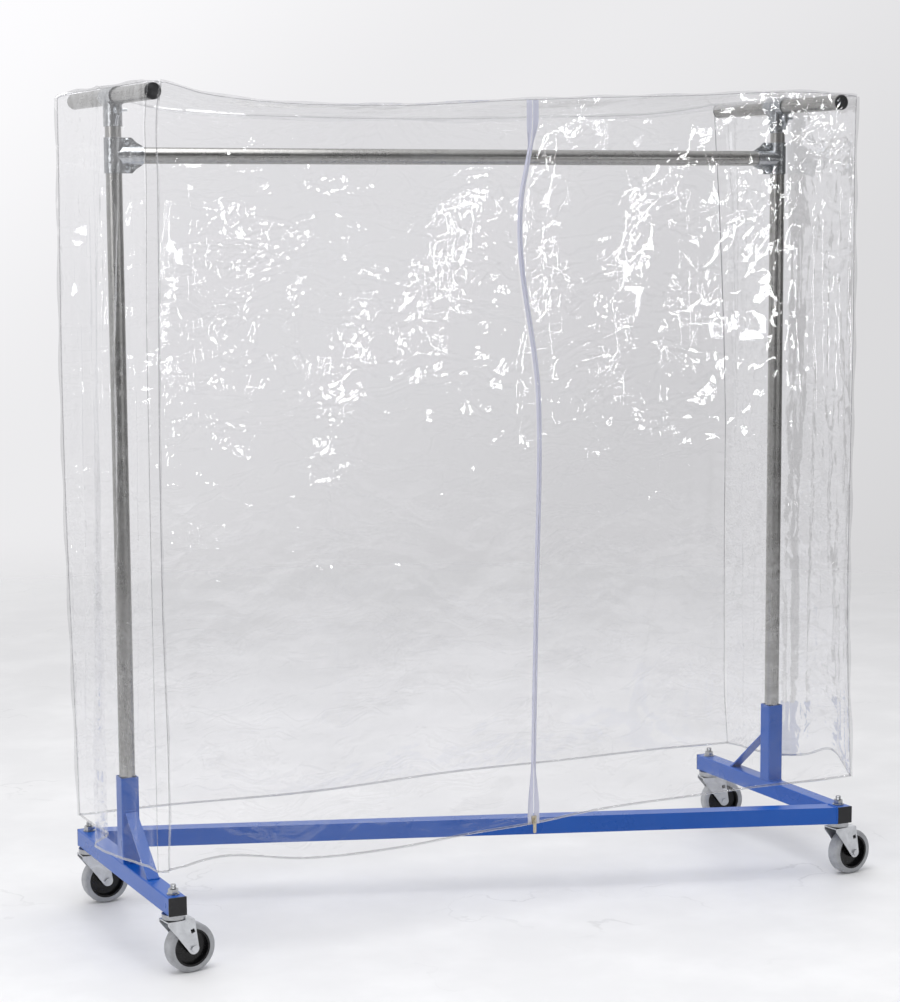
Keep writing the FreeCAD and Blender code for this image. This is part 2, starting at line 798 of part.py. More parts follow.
def panel(label, size, corner):
    """One flat sheet of the cover, given by its size and its lowest corner."""
    box = doc.addObject("Part::Box", label)
    for field, rule in zip(("Length", "Width", "Height"), size):
        tie(box, field, rule)
    keep(place(box, *corner), label)


panel(
    "front_left_panel",
    (f"{HALF_W} + zip_offset - zip_opening / 2", "cover_sheet", WALL),
    (f"-{HALF_W}", f"-{HALF_D}", "hem_height"),
)
panel(
    "front_right_panel",
    (f"{HALF_W} - zip_offset - zip_opening / 2", "cover_sheet", WALL),
    ("zip_offset + zip_opening / 2", f"-{HALF_D}", "hem_height"),
)
panel(
    "back_panel",
    (COVER_WIDTH, "cover_sheet", WALL),
    (f"-{HALF_W}", f"{HALF_D} - cover_sheet", "hem_height"),
)
for side, x in (("left", f"-{HALF_W}"), ("right", f"{HALF_W} - cover_sheet")):
    panel(
        side + "_end_panel",
        ("cover_sheet", f"{COVER_DEPTH} - 2 * cover_sheet", WALL),
        (x, f"-{HALF_D} + cover_sheet", "hem_height"),
    )
panel("top_panel", (COVER_WIDTH, COVER_DEPTH, "cover_sheet"), (f"-{HALF_W}", f"-{HALF_D}", COVER_TOP))


def zip_tape(name, way):
    """One side of the zip: woven tape with its coil along the inner edge."""
    body = new_body(name)
    section = new_sketch(body, "XY_Plane")
    outer = "coil_gap + tape_width"
    inner = "coil_gap + coil_width"
    thick = "tape_sheet / 2"
    deep = "coil_depth / 2"
    polygon(
        section,
        (f"{way} * coil_gap", f"-{deep}"),
        (f"{way} * ({inner})", f"-{deep}"),
        (f"{way} * ({inner})", f"-{thick}"),
        (f"{way} * ({outer})", f"-{thick}"),
        (f"{way} * ({outer})", thick),
        (f"{way} * ({inner})", thick),
        (f"{way} * ({inner})", deep),
        (f"{way} * coil_gap", deep),
    )
    pad(body, section, f"{WALL} - zip_top_margin")
    return place(body, "zip_offset", ZIP_Y, "hem_height")


def zip_slider():
    """Die-cast slider over the coils, with a lug on its face for the pull."""
    body = new_body("zip_slider")
    face = new_sketch(body, "XZ_Plane")
    polygon(
        face,
        ("-slider_foot / 2", 0),
        ("slider_foot / 2", 0),
        ("slider_width / 2", "slider_height / 2"),
        ("slider_width / 2", "slider_height"),
        ("-slider_width / 2", "slider_height"),
        ("-slider_width / 2", "slider_height / 2"),
    )
    pad(body, face, "slider_depth", middle=True)
    channels = new_sketch(body, "XY_Plane")
    inner = "coil_gap - slider_clear"
    outer = "coil_gap + coil_width + slider_clear"
    deep = "coil_depth / 2 + slider_clear"
    slot = "tape_sheet / 2 + slider_clear"
    for way in (-1, 1):
        polygon(
            channels,
            (f"{way} * ({inner})", f"-({deep})"),
            (f"{way} * ({outer})", f"-({deep})"),
            (f"{way} * ({outer})", f"-({slot})"),
            (f"{way} * slider_width", f"-({slot})"),
            (f"{way} * slider_width", slot),
            (f"{way} * ({outer})", slot),
            (f"{way} * ({outer})", deep),
            (f"{way} * ({inner})", deep),
        )
    pocket(body, channels, "3 * slider_height", middle=True)
    lug = new_sketch(body, "YZ_Plane")
    front = "-slider_depth / 2"
    low = "(slider_height - lug_height) / 2"
    rectangle(lug, f"{front} - lug_reach", low, front, f"{low} + lug_height")
    pad(body, lug, "lug_width", middle=True)
    eye = new_sketch(body, "YZ_Plane")
    circle(eye, "pull_pin + 2 * fit", f"{front} - lug_reach / 2", "slider_height / 2")
    pocket(body, eye, "2 * lug_width", middle=True)
    place(body, "zip_offset", ZIP_Y, "hem_height")
    keep(body, "zip_slider")


def zip_pull():
    """Flat pull whose pin turns in the slider's lug; it hangs down."""
    body = new_body("zip_pull")
    tab = new_sketch(body, "XZ_Plane")
    half = "pull_width / 2"
    arm = "lug_width / 2 + slider_clear"
    polygon(
        tab,
        (f"-{half}", "pull_pin / 2"),
        (f"-{half}", "-pull_eye"),
        (f"-{half}", "pull_corner - pull_length"),
        (f"pull_corner - {half}", "-pull_length"),
        (f"{half} - pull_corner", "-pull_length"),
        (half, "pull_corner - pull_length"),
        (half, "-pull_eye"),
        (half, "pull_pin / 2"),
        (arm, "pull_pin / 2"),
        (arm, "-pull_eye"),
        (f"-({arm})", "-pull_eye"),
        (f"-({arm})", "pull_pin / 2"),
    )
    pad(body, tab, "pull_plate", middle=True)
    pin = new_sketch(body, "YZ_Plane")
    circle(pin, "pull_pin")
    pad(body, pin, "pull_width - 2 * pin_inset", middle=True)
    pin_y = f"{ZIP_Y} - slider_depth / 2 - lug_reach / 2"
    place(body, "zip_offset", pin_y, "hem_height + slider_height / 2")
    keep(body, "zip_pull")


keep(group("zip_tapes", [zip_tape("zip_tape_left", -1), zip_tape("zip_tape_right", 1)]), "zip_tapes")
zip_slider()
zip_pull()

# ---------------------------------------------------------------- check and write
doc.recompute()
for thing in doc.Objects:
    if {"Invalid", "Error"} & set(thing.State):
        raise RuntimeError(f"{thing.Label} failed: {thing.State}")
for part in parts:
    shape = part.Shape
    if shape.isNull() or not shape.isValid() or not shape.Solids:
        raise RuntimeError(f"{part.Label} has no sound solid")
os.makedirs("parts", exist_ok=True)
for part in parts:
    part.Shape.exportStep(f"parts/{part.Label}.step")
print(len(parts), "sub-parts written")
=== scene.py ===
"""Looks of a rolling garment rail with a clear zip-up cover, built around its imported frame.

The file follows the rail as it is put together: the view and the studio, the welded base, the
galvanised tubes, the pressed clamps, the casters, and last the clear cover with its zip. All
lengths are in metres, in the frame's own axes: X along the rail, Y to the back, Z up.
"""
import math

import bpy
import numpy as np
from mathutils import Matrix, Vector


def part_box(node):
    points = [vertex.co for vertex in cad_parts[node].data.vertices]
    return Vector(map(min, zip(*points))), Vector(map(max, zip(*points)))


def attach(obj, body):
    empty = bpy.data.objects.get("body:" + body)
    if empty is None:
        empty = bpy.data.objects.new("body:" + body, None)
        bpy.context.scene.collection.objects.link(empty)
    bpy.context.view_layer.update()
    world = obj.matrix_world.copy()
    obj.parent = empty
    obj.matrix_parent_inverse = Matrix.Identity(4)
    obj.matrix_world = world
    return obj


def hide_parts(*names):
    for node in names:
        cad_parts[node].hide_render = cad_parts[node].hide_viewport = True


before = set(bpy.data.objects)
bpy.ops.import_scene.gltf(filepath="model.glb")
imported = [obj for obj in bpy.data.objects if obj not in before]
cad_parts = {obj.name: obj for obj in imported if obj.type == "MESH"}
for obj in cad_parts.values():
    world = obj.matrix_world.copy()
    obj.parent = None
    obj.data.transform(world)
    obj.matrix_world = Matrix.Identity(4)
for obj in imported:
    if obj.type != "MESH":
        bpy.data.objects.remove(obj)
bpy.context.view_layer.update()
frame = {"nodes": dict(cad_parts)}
nodes = frame["nodes"]

# ---------------------------------------------------------------- view
# A long lens at standing eye height, off the rail's left front corner, so that the zip side
# and the left end both show.
EYE = Vector((-2.3399, -4.7353, 1.5203))
HEADING, DIP, LEAN = math.radians(25.84), math.radians(6.93), math.radians(-0.32)
SENSOR_MM, FOCAL_MM = 36.0, 86.58
lens = bpy.data.cameras.new("view")
lens.sensor_fit = "AUTO"
lens.sensor_width = SENSOR_MM
lens.lens = FOCAL_MM
camera = bpy.data.objects.new("view", lens)
bpy.context.scene.collection.objects.link(camera)
ahead = Vector((math.sin(HEADING) * math.cos(DIP), math.cos(HEADING) * math.cos(DIP), -math.sin(DIP)))
level = Vector((math.cos(HEADING), -math.sin(HEADING), 0.0))
upward = level.cross(ahead)
across = level * math.cos(LEAN) + upward * math.sin(LEAN)
above = upward * math.cos(LEAN) - level * math.sin(LEAN)
turned = Matrix((across, above, -ahead)).transposed()
camera.matrix_world = Matrix.Translation(EYE) @ turned.to_4x4()
lens.clip_end = 60.0
bpy.context.scene.camera = camera
bpy.context.scene.view_settings.view_transform = "Standard"


# ---------------------------------------------------------------- studio
# A pale floor covering, with painted shade along a few creases, fades into a pale backdrop
# painted with shade that deepens towards the lower right. Broad soft boxes hang overhead and
# stand at the left, and three narrow lamps sparkle in the cover's creases.
class Wire:
    """An output socket of a shader node. Arithmetic on it adds Math nodes to its tree."""

    def __init__(self, nodes, socket):
        self.nodes = nodes
        self.socket = socket

    def math(self, operation, first, second):
        return self.nodes.node("Math", {"operation": operation}, {0: first, 1: second})

    def __add__(self, other):
        return self.math("ADD", self, other)

    def __radd__(self, other):
        return self.math("ADD", other, self)

    def __sub__(self, other):
        return self.math("SUBTRACT", self, other)

    def __rsub__(self, other):
        return self.math("SUBTRACT", other, self)

    def __mul__(self, other):
        return self.math("MULTIPLY", self, other)

    def __rmul__(self, other):
        return self.math("MULTIPLY", other, self)


class Nodes:
    """A node tree in the making."""

    def __init__(self, tree):
        self.tree = tree

    def join(self, socket, value):
        if isinstance(value, Wire):
            self.tree.links.new(value.socket, socket)
        else:
            socket.default_value = value

    def node(self, kind, settings=None, inputs=None, out=0):
        """Add a node: its type, its settings first, then the values or links of its sockets."""
        made = self.tree.nodes.new("ShaderNode" + kind)
        for name, value in (settings or {}).items():
            if name == "stops":
                ramp = made.color_ramp.elements
                ramp[0].position, ramp[1].position = value[0][0], value[-1][0]
                for place, _ in value[1:-1]:
                    ramp.new(place)
                for element, (_, colour) in zip(ramp, value):
                    element.color = colour
            elif name == "easing":
                made.color_ramp.interpolation = value
            else:
                setattr(made, name, value)
        for name, value in (inputs or {}).items():
            self.join(made.inputs[name], value)
        return Wire(self, made.outputs[out])

    def output(self, shader):
        """Let the tree end in this shader."""
        end = next(made for made in self.tree.nodes if made.type.startswith("OUTPUT_"))
        self.tree.links.new(shader.socket, end.inputs["Surface"])


class Finish(Nodes):
    """A material in the making: its Principled shader and the nodes that feed it."""

    def __init__(self, name, **constants):
        self.material = bpy.data.materials.new(name)
        self.material.use_nodes = True
        super().__init__(self.material.node_tree)
        self.surface = self.tree.nodes["Principled BSDF"]
        self.feed(**constants)

    def feed(self, **sockets):
        """Set or link sockets of the Principled shader, by their names with underscores."""
        for socket, value in sockets.items():
            self.join(self.surface.inputs[socket.replace("_", " ")], value)

    def principled(self):
        return Wire(self, self.surface.outputs[0])

    def place(self, stretch=(1.0, 1.0, 1.0)):
        """Where a point is on the rail, in metres, stretched along the axes."""
        where = self.node("TexCoord", out=3)
        return self.node("VectorMath", {"operation": "MULTIPLY"}, {0: where, 1: stretch})

    def noise(self, where, scale, detail=2.0, rough=0.5, warp=0.0):
        sockets = {"Vector": where, "Scale": scale, "Detail": detail}
        sockets.update({"Roughness": rough, "Distortion": warp})
        return self.node("TexNoise", None, sockets)

    def wander(self, where, scale, detail, reach):
        """A place pushed about by a slow noise, as far as a reach along each axis."""
        push = self.node("TexNoise", None, {"Vector": where, "Scale": scale, "Detail": detail}, out=1)
        return self.node("VectorMath", {"operation": "MULTIPLY_ADD"}, {0: push, 1: reach, 2: where})

    def cells(self, where, scale):
        """How far a point lies from the nearest edge of a pattern of random cells."""
        return self.node("TexVoronoi", {"feature": "DISTANCE_TO_EDGE"}, {"Vector": where, "Scale": scale})

    def ramp(self, factor, low, high):
        """A wire from 0 at low to 1 at high, smooth at both ends."""
        sockets = {"Value": factor, "From Min": low, "From Max": high}
        return self.node("MapRange", {"interpolation_type": "SMOOTHSTEP"}, sockets)

    def mix(self, factor, first, second):
        """One colour fading into another."""
        return self.node("Mix", {"data_type": "RGBA"}, {0: factor, 6: first, 7: second}, out=2)

    def bump(self, height, distance, strength=1.0):
        return self.node("Bump", None, {"Height": height, "Distance": distance, "Strength": strength})


FLOOR_RADIUS = 14.0
FLOOR_SIDES = 96
FLOOR_FADES = (2.2, 6.5)
FLOOR_DULL = (0.79, 0.79, 0.80, 1.0)
FLOOR_CLEAN = (0.86, 0.86, 0.87, 1.0)
FLOOR_CREASE_SHADE = (0.50, 0.50, 0.51, 1.0)


def floor():
    mesh = bpy.data.meshes.new("floor")
    around = np.arange(FLOOR_SIDES) * math.tau / FLOOR_SIDES
    ring = [(FLOOR_RADIUS * math.cos(a), FLOOR_RADIUS * math.sin(a), 0.0) for a in around]
    mesh.from_pydata(ring, [], [list(range(FLOOR_SIDES))])
    made = bpy.data.objects.new("floor", mesh)
    bpy.context.scene.collection.objects.link(made)
    paint = Finish("pale_floor", Roughness=0.55)
    where = paint.place()
    wiped = paint.ramp(paint.noise(where, 3.0, detail=4.0, rough=0.6), 0.35, 0.75)
    web = paint.cells(paint.wander(where, 2.4, 5.0, (0.9, 0.9, 0.0)), 2.1)
    marked = paint.ramp(paint.noise(where, 1.7, detail=3.0, rough=0.6), 0.52, 0.66)
    # Dark lines of painted shade along a few creases; the floor itself stays flat.
    crease = paint.ramp(web, 0.012, 0.002) * marked
    plain = paint.mix(wiped, FLOOR_DULL, FLOOR_CLEAN)
    paint.feed(Base_Color=paint.mix(crease * 0.35, plain, FLOOR_CREASE_SHADE))
    far = paint.node("VectorMath", {"operation": "LENGTH"}, {0: where}, out=1)
    faded = {0: paint.ramp(far, *FLOOR_FADES), 1: paint.principled(), 2: paint.node("BsdfTransparent")}
    paint.output(paint.node("MixShader", None, faded))
    mesh.materials.append(paint.material)


NEARLY_UPRIGHT = 0.95


def lamp(name, centre, at, size, watts, lean=0.0):
    """A flat soft box that faces a point, its long side tipped up by an angle in degrees."""
    light = bpy.data.lights.new(name, "AREA")
    light.shape = "RECTANGLE"
    light.size, light.size_y = size
    light.energy = watts
    made = bpy.data.objects.new(name, light)
    out = (Vector(centre) - Vector(at)).normalized()
    wide = Vector((0.0, 1.0, 0.0))
    if abs(out.z) < NEARLY_UPRIGHT:
        wide = Vector((0.0, 0.0, 1.0)).cross(out).normalized()
    tall = out.cross(wide).normalized()
    long = wide * math.cos(math.radians(lean)) + tall * math.sin(math.radians(lean))
    turned = Matrix((long, out.cross(long).normalized(), out)).transposed()
    made.matrix_world = Matrix.Translation(centre) @ turned.to_4x4()
    bpy.context.scene.collection.objects.link(made)
    return made


# The backdrop the camera sees is painted with shade: its grey deepens along this direction, towards the
# lower right of the view.
BACKDROP_FALLS = (0.536, -0.363, -0.764)
BACKDROP_SHADE_TONES = [(0.36, 0.99), (0.44, 0.84), (0.53, 0.715), (0.60, 0.63)]
BACKDROP_TINT = (1.0, 0.995, 1.012)
ROOM_BRIGHTENS = (-0.15, 0.66, 0.74)
ROOM_TONES = [(0.0, 0.10), (0.36, 0.14), (0.55, 0.48), (0.78, 0.86), (1.0, 0.95)]
ROOM_TINT = (1.0, 1.0, 1.01)


def backdrop():
    """The pale paper seen behind the rail, painted with shade that deepens towards the lower right of
    the view, and for the metal and vinyl to mirror, a studio that is bright behind and above the rail
    and dim on the side of the viewer."""
    world = bpy.data.worlds.new("studio")
    world.use_nodes = True
    bpy.context.scene.world = world
    studio = Nodes(world.node_tree)
    facing = studio.node("TexCoord")

    def glow(way, tones, tint, easing):
        """Light from all round, in greys that follow how far its direction leans one way."""
        leans = studio.node("VectorMath", {"operation": "DOT_PRODUCT"}, {0: facing, 1: way}, out=1)
        share = studio.node("MapRange", None, {"Value": leans, "From Min": -1.0})
        stops = [(spot, (grey * tint[0], grey * tint[1], grey * tint[2], 1.0)) for spot, grey in tones]
        shade = studio.node("ValToRGB", {"stops": stops, "easing": easing}, {0: share})
        return studio.node("Background", None, {"Color": shade})

    room = glow(ROOM_BRIGHTENS, ROOM_TONES, ROOM_TINT, "LINEAR")
    # Painted shade on the backdrop, seen only by the camera.
    paper = glow(BACKDROP_FALLS, BACKDROP_SHADE_TONES, BACKDROP_TINT, "EASE")
    to_camera = studio.node("LightPath")
    studio.output(studio.node("MixShader", None, {0: to_camera, 1: room, 2: paper}))


floor()
backdrop()
lamp("overhead", (-0.6, -0.8, 4.2), (0.0, 0.0, 0.8), (3.4, 2.6), 92.0)
lamp("left_bank", (-4.2, -1.6, 2.2), (-0.4, 0.0, 0.9), (1.6, 2.2), 26.0)
lamp("long_strip", (2.85, -4.29, 1.36), (0.3, -0.26, 1.35), (1.05, 0.075), 6.0, 45.0)
lamp("short_strip", (0.95, -4.29, 1.00), (-0.6, -0.26, 1.2), (0.45, 0.08), 3.0, 38.0)
lamp("end_strip", (3.45, -4.29, 1.02), (0.65, -0.26, 1.25), (0.45, 0.06), 2.2, 118.0)


# ---------------------------------------------------------------- welded base
# Square steel tube and flat bar, mitred and MIG welded into a Z, then powder coated blue in one
# piece. The coat has a faint orange peel, small chips, and runs over the lumpy weld beads.
BASE = ["crossbar"] + [side + part for side in ("left", "right")
                       for part in ("_side_tube", "_socket", "_brace")]


def dress(names, finish):
    """Give CAD nodes their finish."""
    for name in names:
        holder = nodes[name]
        holder.data.materials.clear()
        holder.data.materials.append(finish.material)


def piece(name, points, faces, finish, body, slot):
    """A new mesh piece that rides on a body."""
    mesh = bpy.data.meshes.new(name)
    mesh.from_pydata([tuple(p) for p in points], [], faces)
    mesh.materials.append(finish.material)
    mesh.polygons.foreach_set("use_smooth", [True] * len(mesh.polygons))
    mesh.update()
    made = bpy.data.objects.new(name, mesh)
    bpy.context.scene.collection.objects.link(made)
    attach(made, body)
    return made


def tube_along(line, radii, ring):
    """Points and faces of a round solid along a line, with flat ends and a ring of points at each
    point of the line. Its rings are laid out from Z, or from Y where the line stands upright."""
    line = np.asarray(line, float)
    way = np.gradient(line, axis=0)
    way /= np.linalg.norm(way, axis=1)[:, None]
    side = np.cross(way, (0.0, 0.0, 1.0))
    if np.linalg.norm(side, axis=1).min() < 0.1:
        side = np.cross(way, (0.0, 1.0, 0.0))
    side /= np.linalg.norm(side, axis=1)[:, None]
    over = np.cross(side, way)
    angle = np.arange(ring) * math.tau / ring
    radii = np.asarray(radii, float)[:, None, None]
    spokes = np.cos(angle)[None, :, None] * side[:, None] + np.sin(angle)[None, :, None] * over[:, None]
    points = (line[:, None] + radii * spokes).reshape(-1, 3)
    faces = []
    for k in range(len(line) - 1):
        for j in range(ring):
            n = (j + 1) % ring
            faces.append((k * ring + j, k * ring + n, (k + 1) * ring + n, (k + 1) * ring + j))
    last = (len(line) - 1) * ring
    faces.append(tuple(range(ring))[::-1])
    faces.append(tuple(last + j for j in range(ring)))
    return points, faces


def powder_coat():
    deep_blue, light_blue = (0.003, 0.080, 0.40, 1.0), (0.007, 0.105, 0.49, 1.0)
    dust_blue, primer = (0.35, 0.42, 0.60, 1.0), (0.15, 0.18, 0.26, 1.0)
    coat = Finish("blue_powder_coat", Coat_Roughness=0.18, Coat_IOR=1.5, Specular_IOR_Level=0.3)
    where = coat.place()
    cloud = coat.noise(where, 9.0, detail=3.0)
    peel = coat.noise(where, 520.0)
    chips = coat.ramp(coat.noise(where, 46.0, detail=6.0, rough=0.72), 0.735, 0.76)
    dust = coat.ramp(coat.noise(where, 5.0, detail=5.0, rough=0.65), 0.5, 0.85)
    dusty = coat.mix(dust * 0.05, coat.mix(cloud, deep_blue, light_blue), dust_blue)
    coat.feed(
        Base_Color=coat.mix(chips * 0.8, dusty, primer),
        Roughness=0.24 + 0.08 * cloud + 0.14 * dust,
        Coat_Weight=0.16 - 0.15 * chips,
        Normal=coat.bump(peel + chips * -2.0, 0.0002, 0.6),
    )
    return coat


coat = powder_coat()
dress(BASE, coat)
BEAD = 0.0026
BEAD_RING = 8
BEAD_STEP = 0.0022
BEAD_WAVE, BEAD_LUMPS = 0.16, 0.10
CROSSBAR_WIDTH = 0.0387
rng = np.random.default_rng(7)


def weld(name, start, end):
    """One lumpy fillet bead between two points, thinner at its ends."""
    start, end = Vector(start), Vector(end)
    steps = max(8, int((end - start).length / BEAD_STEP))
    along = np.linspace(0.0, 1.0, steps)
    line = np.array([start.lerp(end, t) for t in along])
    ripple = 1.0 + BEAD_WAVE * np.sin(along * steps * 1.9) + BEAD_LUMPS * rng.standard_normal(steps)
    taper = np.sqrt(np.clip(np.minimum(along, 1.0 - along) * 14.0, 0.12, 1.0))
    points, faces = tube_along(line, BEAD * ripple * taper, BEAD_RING)
    piece(name, points, faces, coat, "frame", "blue_powder_coat")


for side in ("left", "right"):
    low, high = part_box(side + "_socket")
    floor_z = low.z + BEAD * 0.2
    weld(side + "_socket_weld_front", (low.x, low.y, floor_z), (high.x, low.y, floor_z))
    weld(side + "_socket_weld_back", (low.x, high.y, floor_z), (high.x, high.y, floor_z))
    foot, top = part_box(side + "_brace")
    toe = foot.y if side == "left" else top.y
    weld(side + "_brace_foot_weld", (foot.x, toe, floor_z), (top.x, toe, floor_z))
    face = low.y if side == "left" else high.y
    weld(side + "_brace_top_weld", (foot.x, face, top.z), (top.x, face, top.z))
bar_low, bar_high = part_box("crossbar")
for name, x, back in (("left", bar_low.x, bar_high.y), ("right", bar_high.x, bar_low.y + CROSSBAR_WIDTH)):
    front = back - CROSSBAR_WIDTH
    weld(f"crossbar_{name}_weld_top", (x, front, bar_high.z), (x, back, bar_high.z))
    weld(f"crossbar_{name}_weld_front", (x, front, bar_low.z), (x, front, bar_high.z))
    weld(f"crossbar_{name}_weld_back", (x, back, bar_low.z), (x, back, bar_high.z))


# ---------------------------------------------------------------- black plastic ends
# Injection-moulded polyethylene caps in the side tubes and plugs in the cover bars. They are
# pushed in by hand and have a fine spark texture.
def black_plastic():
    black, scuffed = (0.014, 0.014, 0.016, 1.0), (0.075, 0.075, 0.078, 1.0)
    made = Finish("black_plastic", Specular_IOR_Level=0.4)
    where = made.place()
    grain = made.noise(where, 900.0, detail=1.0)
    scuff = made.ramp(made.noise(where, 60.0, detail=5.0, rough=0.7), 0.55, 0.8)
    made.feed(
        Base_Color=made.mix(scuff * 0.5, black, scuffed),
        Roughness=0.42 + 0.2 * scuff,
        Normal=made.bump(grain, 0.00015, 0.5),
    )
    return made


dress(["base_end_caps", "cover_bar_plugs"], black_plastic())


# ---------------------------------------------------------------- galvanised tubes
# Round steel tube of 33.4 mm, galvanised inside and out and drawn, so its zinc has fine streaks
# along the length, dull grey clouds, a faint spangle and a few dark specks.
FINE, DRAWN = 60.0, 1.3
TUBES = {
    "upright": (["left_upright", "right_upright"], (FINE, FINE, DRAWN)),
    "hang_rail": (["hang_rail"], (DRAWN, FINE, FINE)),
    "cover_bar": (["left_cover_bar", "right_cover_bar"], (FINE, DRAWN, FINE)),
}


def galvanised(name, stretch):
    dull, pale, lines = (0.20, 0.196, 0.184, 1.0), (0.40, 0.395, 0.38, 1.0), (0.62, 0.615, 0.60, 1.0)
    crystal, pitted = (0.75, 0.75, 0.76, 1.0), (0.16, 0.155, 0.15, 1.0)
    zinc = Finish("galvanised_" + name, Metallic=1.0)
    streak = zinc.noise(zinc.place(stretch), 6.0, detail=4.0, rough=0.6)
    where = zinc.place()
    cloud = zinc.noise(where, 11.0, detail=5.0, rough=0.65, warp=0.4)
    spangle = zinc.node("TexVoronoi", {"feature": "F1"}, {"Vector": where, "Scale": 170.0}, out=1)
    flake = zinc.node("SeparateColor", None, {"Color": spangle})
    specks = zinc.ramp(zinc.noise(where, 330.0, detail=3.0, rough=0.7), 0.66, 0.74)
    lined = zinc.mix(0.45 * streak, zinc.mix(cloud, dull, pale), lines)
    spangled = zinc.mix(0.12 * flake, lined, crystal)
    zinc.feed(
        Base_Color=zinc.mix(specks * 0.5, spangled, pitted),
        Roughness=0.17 + 0.14 * cloud + 0.08 * streak,
        Normal=zinc.bump(streak * 0.6 + cloud, 0.0005, 0.35),
    )
    return zinc


for name, (tubes, stretch) in TUBES.items():
    dress(tubes, galvanised(name, stretch))


# ---------------------------------------------------------------- pressed clamps and bolts
# Tee clamps pressed from 2.6 mm steel in two halves and barrel plated with zinc, drawn together
# round the tubes by two carriage bolts. The plating is bluish and cloudy, with tool marks.
CLAMPS = [f"{side}_{which}_clamp_{end}" for side in ("left", "right")
          for which, ends in (("rail", ("front", "back")), ("bar", ("left", "right"))) for end in ends]


def plated(name, tone, rough, dimple):
    """Cloudy zinc or steel: its brightest tone, its smoothest roughness, how deep its dents are."""
    dark, clean, marked = tuple(0.42 * t for t in tone) + (1.0,), tone + (1.0,), (0.24, 0.25, 0.26, 1.0)
    zinc = Finish(name, Metallic=1.0)
    where = zinc.place()
    cloud = zinc.noise(where, 38.0, detail=4.0, rough=0.6, warp=0.5)
    dents = zinc.noise(where, 110.0)
    marks = zinc.ramp(zinc.noise(where, 420.0, rough=0.7), 0.62, 0.75)
    zinc.feed(
        Base_Color=zinc.mix(marks * 0.35, zinc.mix(cloud, dark, clean), marked),
        Roughness=rough + 0.16 * cloud + 0.10 * marks,
        Normal=zinc.bump(dents + 0.3 * cloud, dimple, 0.5),
    )
    return zinc


dress(CLAMPS, plated("zinc_pressing", (0.60, 0.62, 0.64), 0.13, 0.0022))
dress(["clamp_bolts", "clamp_nuts"], plated("bolt_zinc", (0.74, 0.78, 0.82), 0.16, 0.0003))


# ---------------------------------------------------------------- casters
# Pressed steel forks and turned stems in bright zinc, ball races greased from below, black
# nylon wheel cores and grey rubber tyres moulded onto them.
CORNERS = ["front_left", "front_right", "rear_left", "rear_right"]
bright = plated("bright_zinc", (0.88, 0.90, 0.93), 0.27, 0.0002)
stem_zinc = plated("stem_zinc", (0.56, 0.57, 0.59), 0.14, 0.0002)
for corner in CORNERS:
    dress([corner + "_stem"], stem_zinc)
    dress([corner + "_fork", corner + "_axle"], bright)
dress(["caster_nuts", "caster_washers"], stem_zinc)
RACES = ["caster_balls"] + [corner + "_bush" for corner in CORNERS]
dress(RACES, plated("race_steel", (0.60, 0.59, 0.57), 0.2, 0.0001))


def wheel_core():
    black, dusty = (0.006, 0.006, 0.007, 1.0), (0.035, 0.034, 0.032, 1.0)
    core = Finish("black_wheel_core", Specular_IOR_Level=0.35)
    where = core.place()
    dust = core.ramp(core.noise(where, 24.0, detail=5.0, rough=0.65), 0.45, 0.8)
    core.feed(
        Base_Color=core.mix(dust * 0.3, black, dusty),
        Roughness=0.24 + 0.25 * dust,
        Normal=core.bump(core.noise(where, 300.0), 0.0002, 0.4),
    )
    return core


def tyre_rubber():
    clean, grimy = (0.42, 0.43, 0.45, 1.0), (0.31, 0.315, 0.33, 1.0)
    rubber = Finish("grey_tyre", Specular_IOR_Level=0.35)
    where = rubber.place()
    grime = rubber.ramp(rubber.noise(where, 32.0, detail=6.0, rough=0.7), 0.4, 0.75)
    grit = rubber.noise(where, 700.0)
    rubber.feed(
        Base_Color=rubber.mix(grime, clean, grimy),
        Roughness=0.5 + 0.2 * grime,
        Normal=rubber.bump(grit + grime, 0.0003, 0.5),
    )
    return rubber


core, rubber = wheel_core(), tyre_rubber()
for corner in CORNERS:
    dress([corner + "_hub"], core)
    dress([corner + "_tyre"], rubber)


# ---------------------------------------------------------------- clear cover
# Six sheets of clear 0.5 mm vinyl, high-frequency welded along their edges. It hangs from the two
# cover bars, sags between them, keeps the creases of its packing, and is bunched at both ends.
SHEET = "clear_vinyl"
CELL = 0.010  # the sheets' grids have points this far apart
ROWS = 150
ZIP_HALF_GAP = 0.0075
FRONT_WIDE, BACK_WIDE, END_WIDE = 0.82, 1.64, 0.54  # widths over which the grids are counted
WALL_Y = 0.262  # the walls hang this far to the front and back
BAR_X = 0.800  # the cover bars lie this far to the left and right
KEEP_X = 0.8232  # end walls stay outside this, clear of the bars' flanks
KEEP_Y = 0.2585  # front and back walls stay outside this, clear of the bars' ends
cover_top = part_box("top_panel")[1].z
hem_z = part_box("front_left_panel")[0].z


def curve(pairs, at):
    """Values at some places on a smooth curve through a few (place, value) pairs."""
    places, values = np.array(sorted(pairs), float).T
    slopes = np.gradient(values, places)
    at = np.clip(at, places[0], places[-1])
    k = np.clip(np.searchsorted(places, at) - 1, 0, len(places) - 2)
    width = places[k + 1] - places[k]
    t = (at - places[k]) / width
    first = values[k] * (1 + 2 * t) * (1 - t) ** 2 + slopes[k] * width * t * (1 - t) ** 2
    return first + values[k + 1] * t * t * (3 - 2 * t) + slopes[k + 1] * width * t * t * (t - 1)


def path(points, at):
    """Points at shares of the way along a smooth plan line through a few points."""
    points = np.array(points, float)
    far = np.concatenate([[0.0], np.cumsum(np.linalg.norm(np.diff(points, axis=0), axis=1))])
    far /= far[-1]
    return np.stack([curve(list(zip(far, points[:, i])), at) for i in (0, 1)], axis=-1)


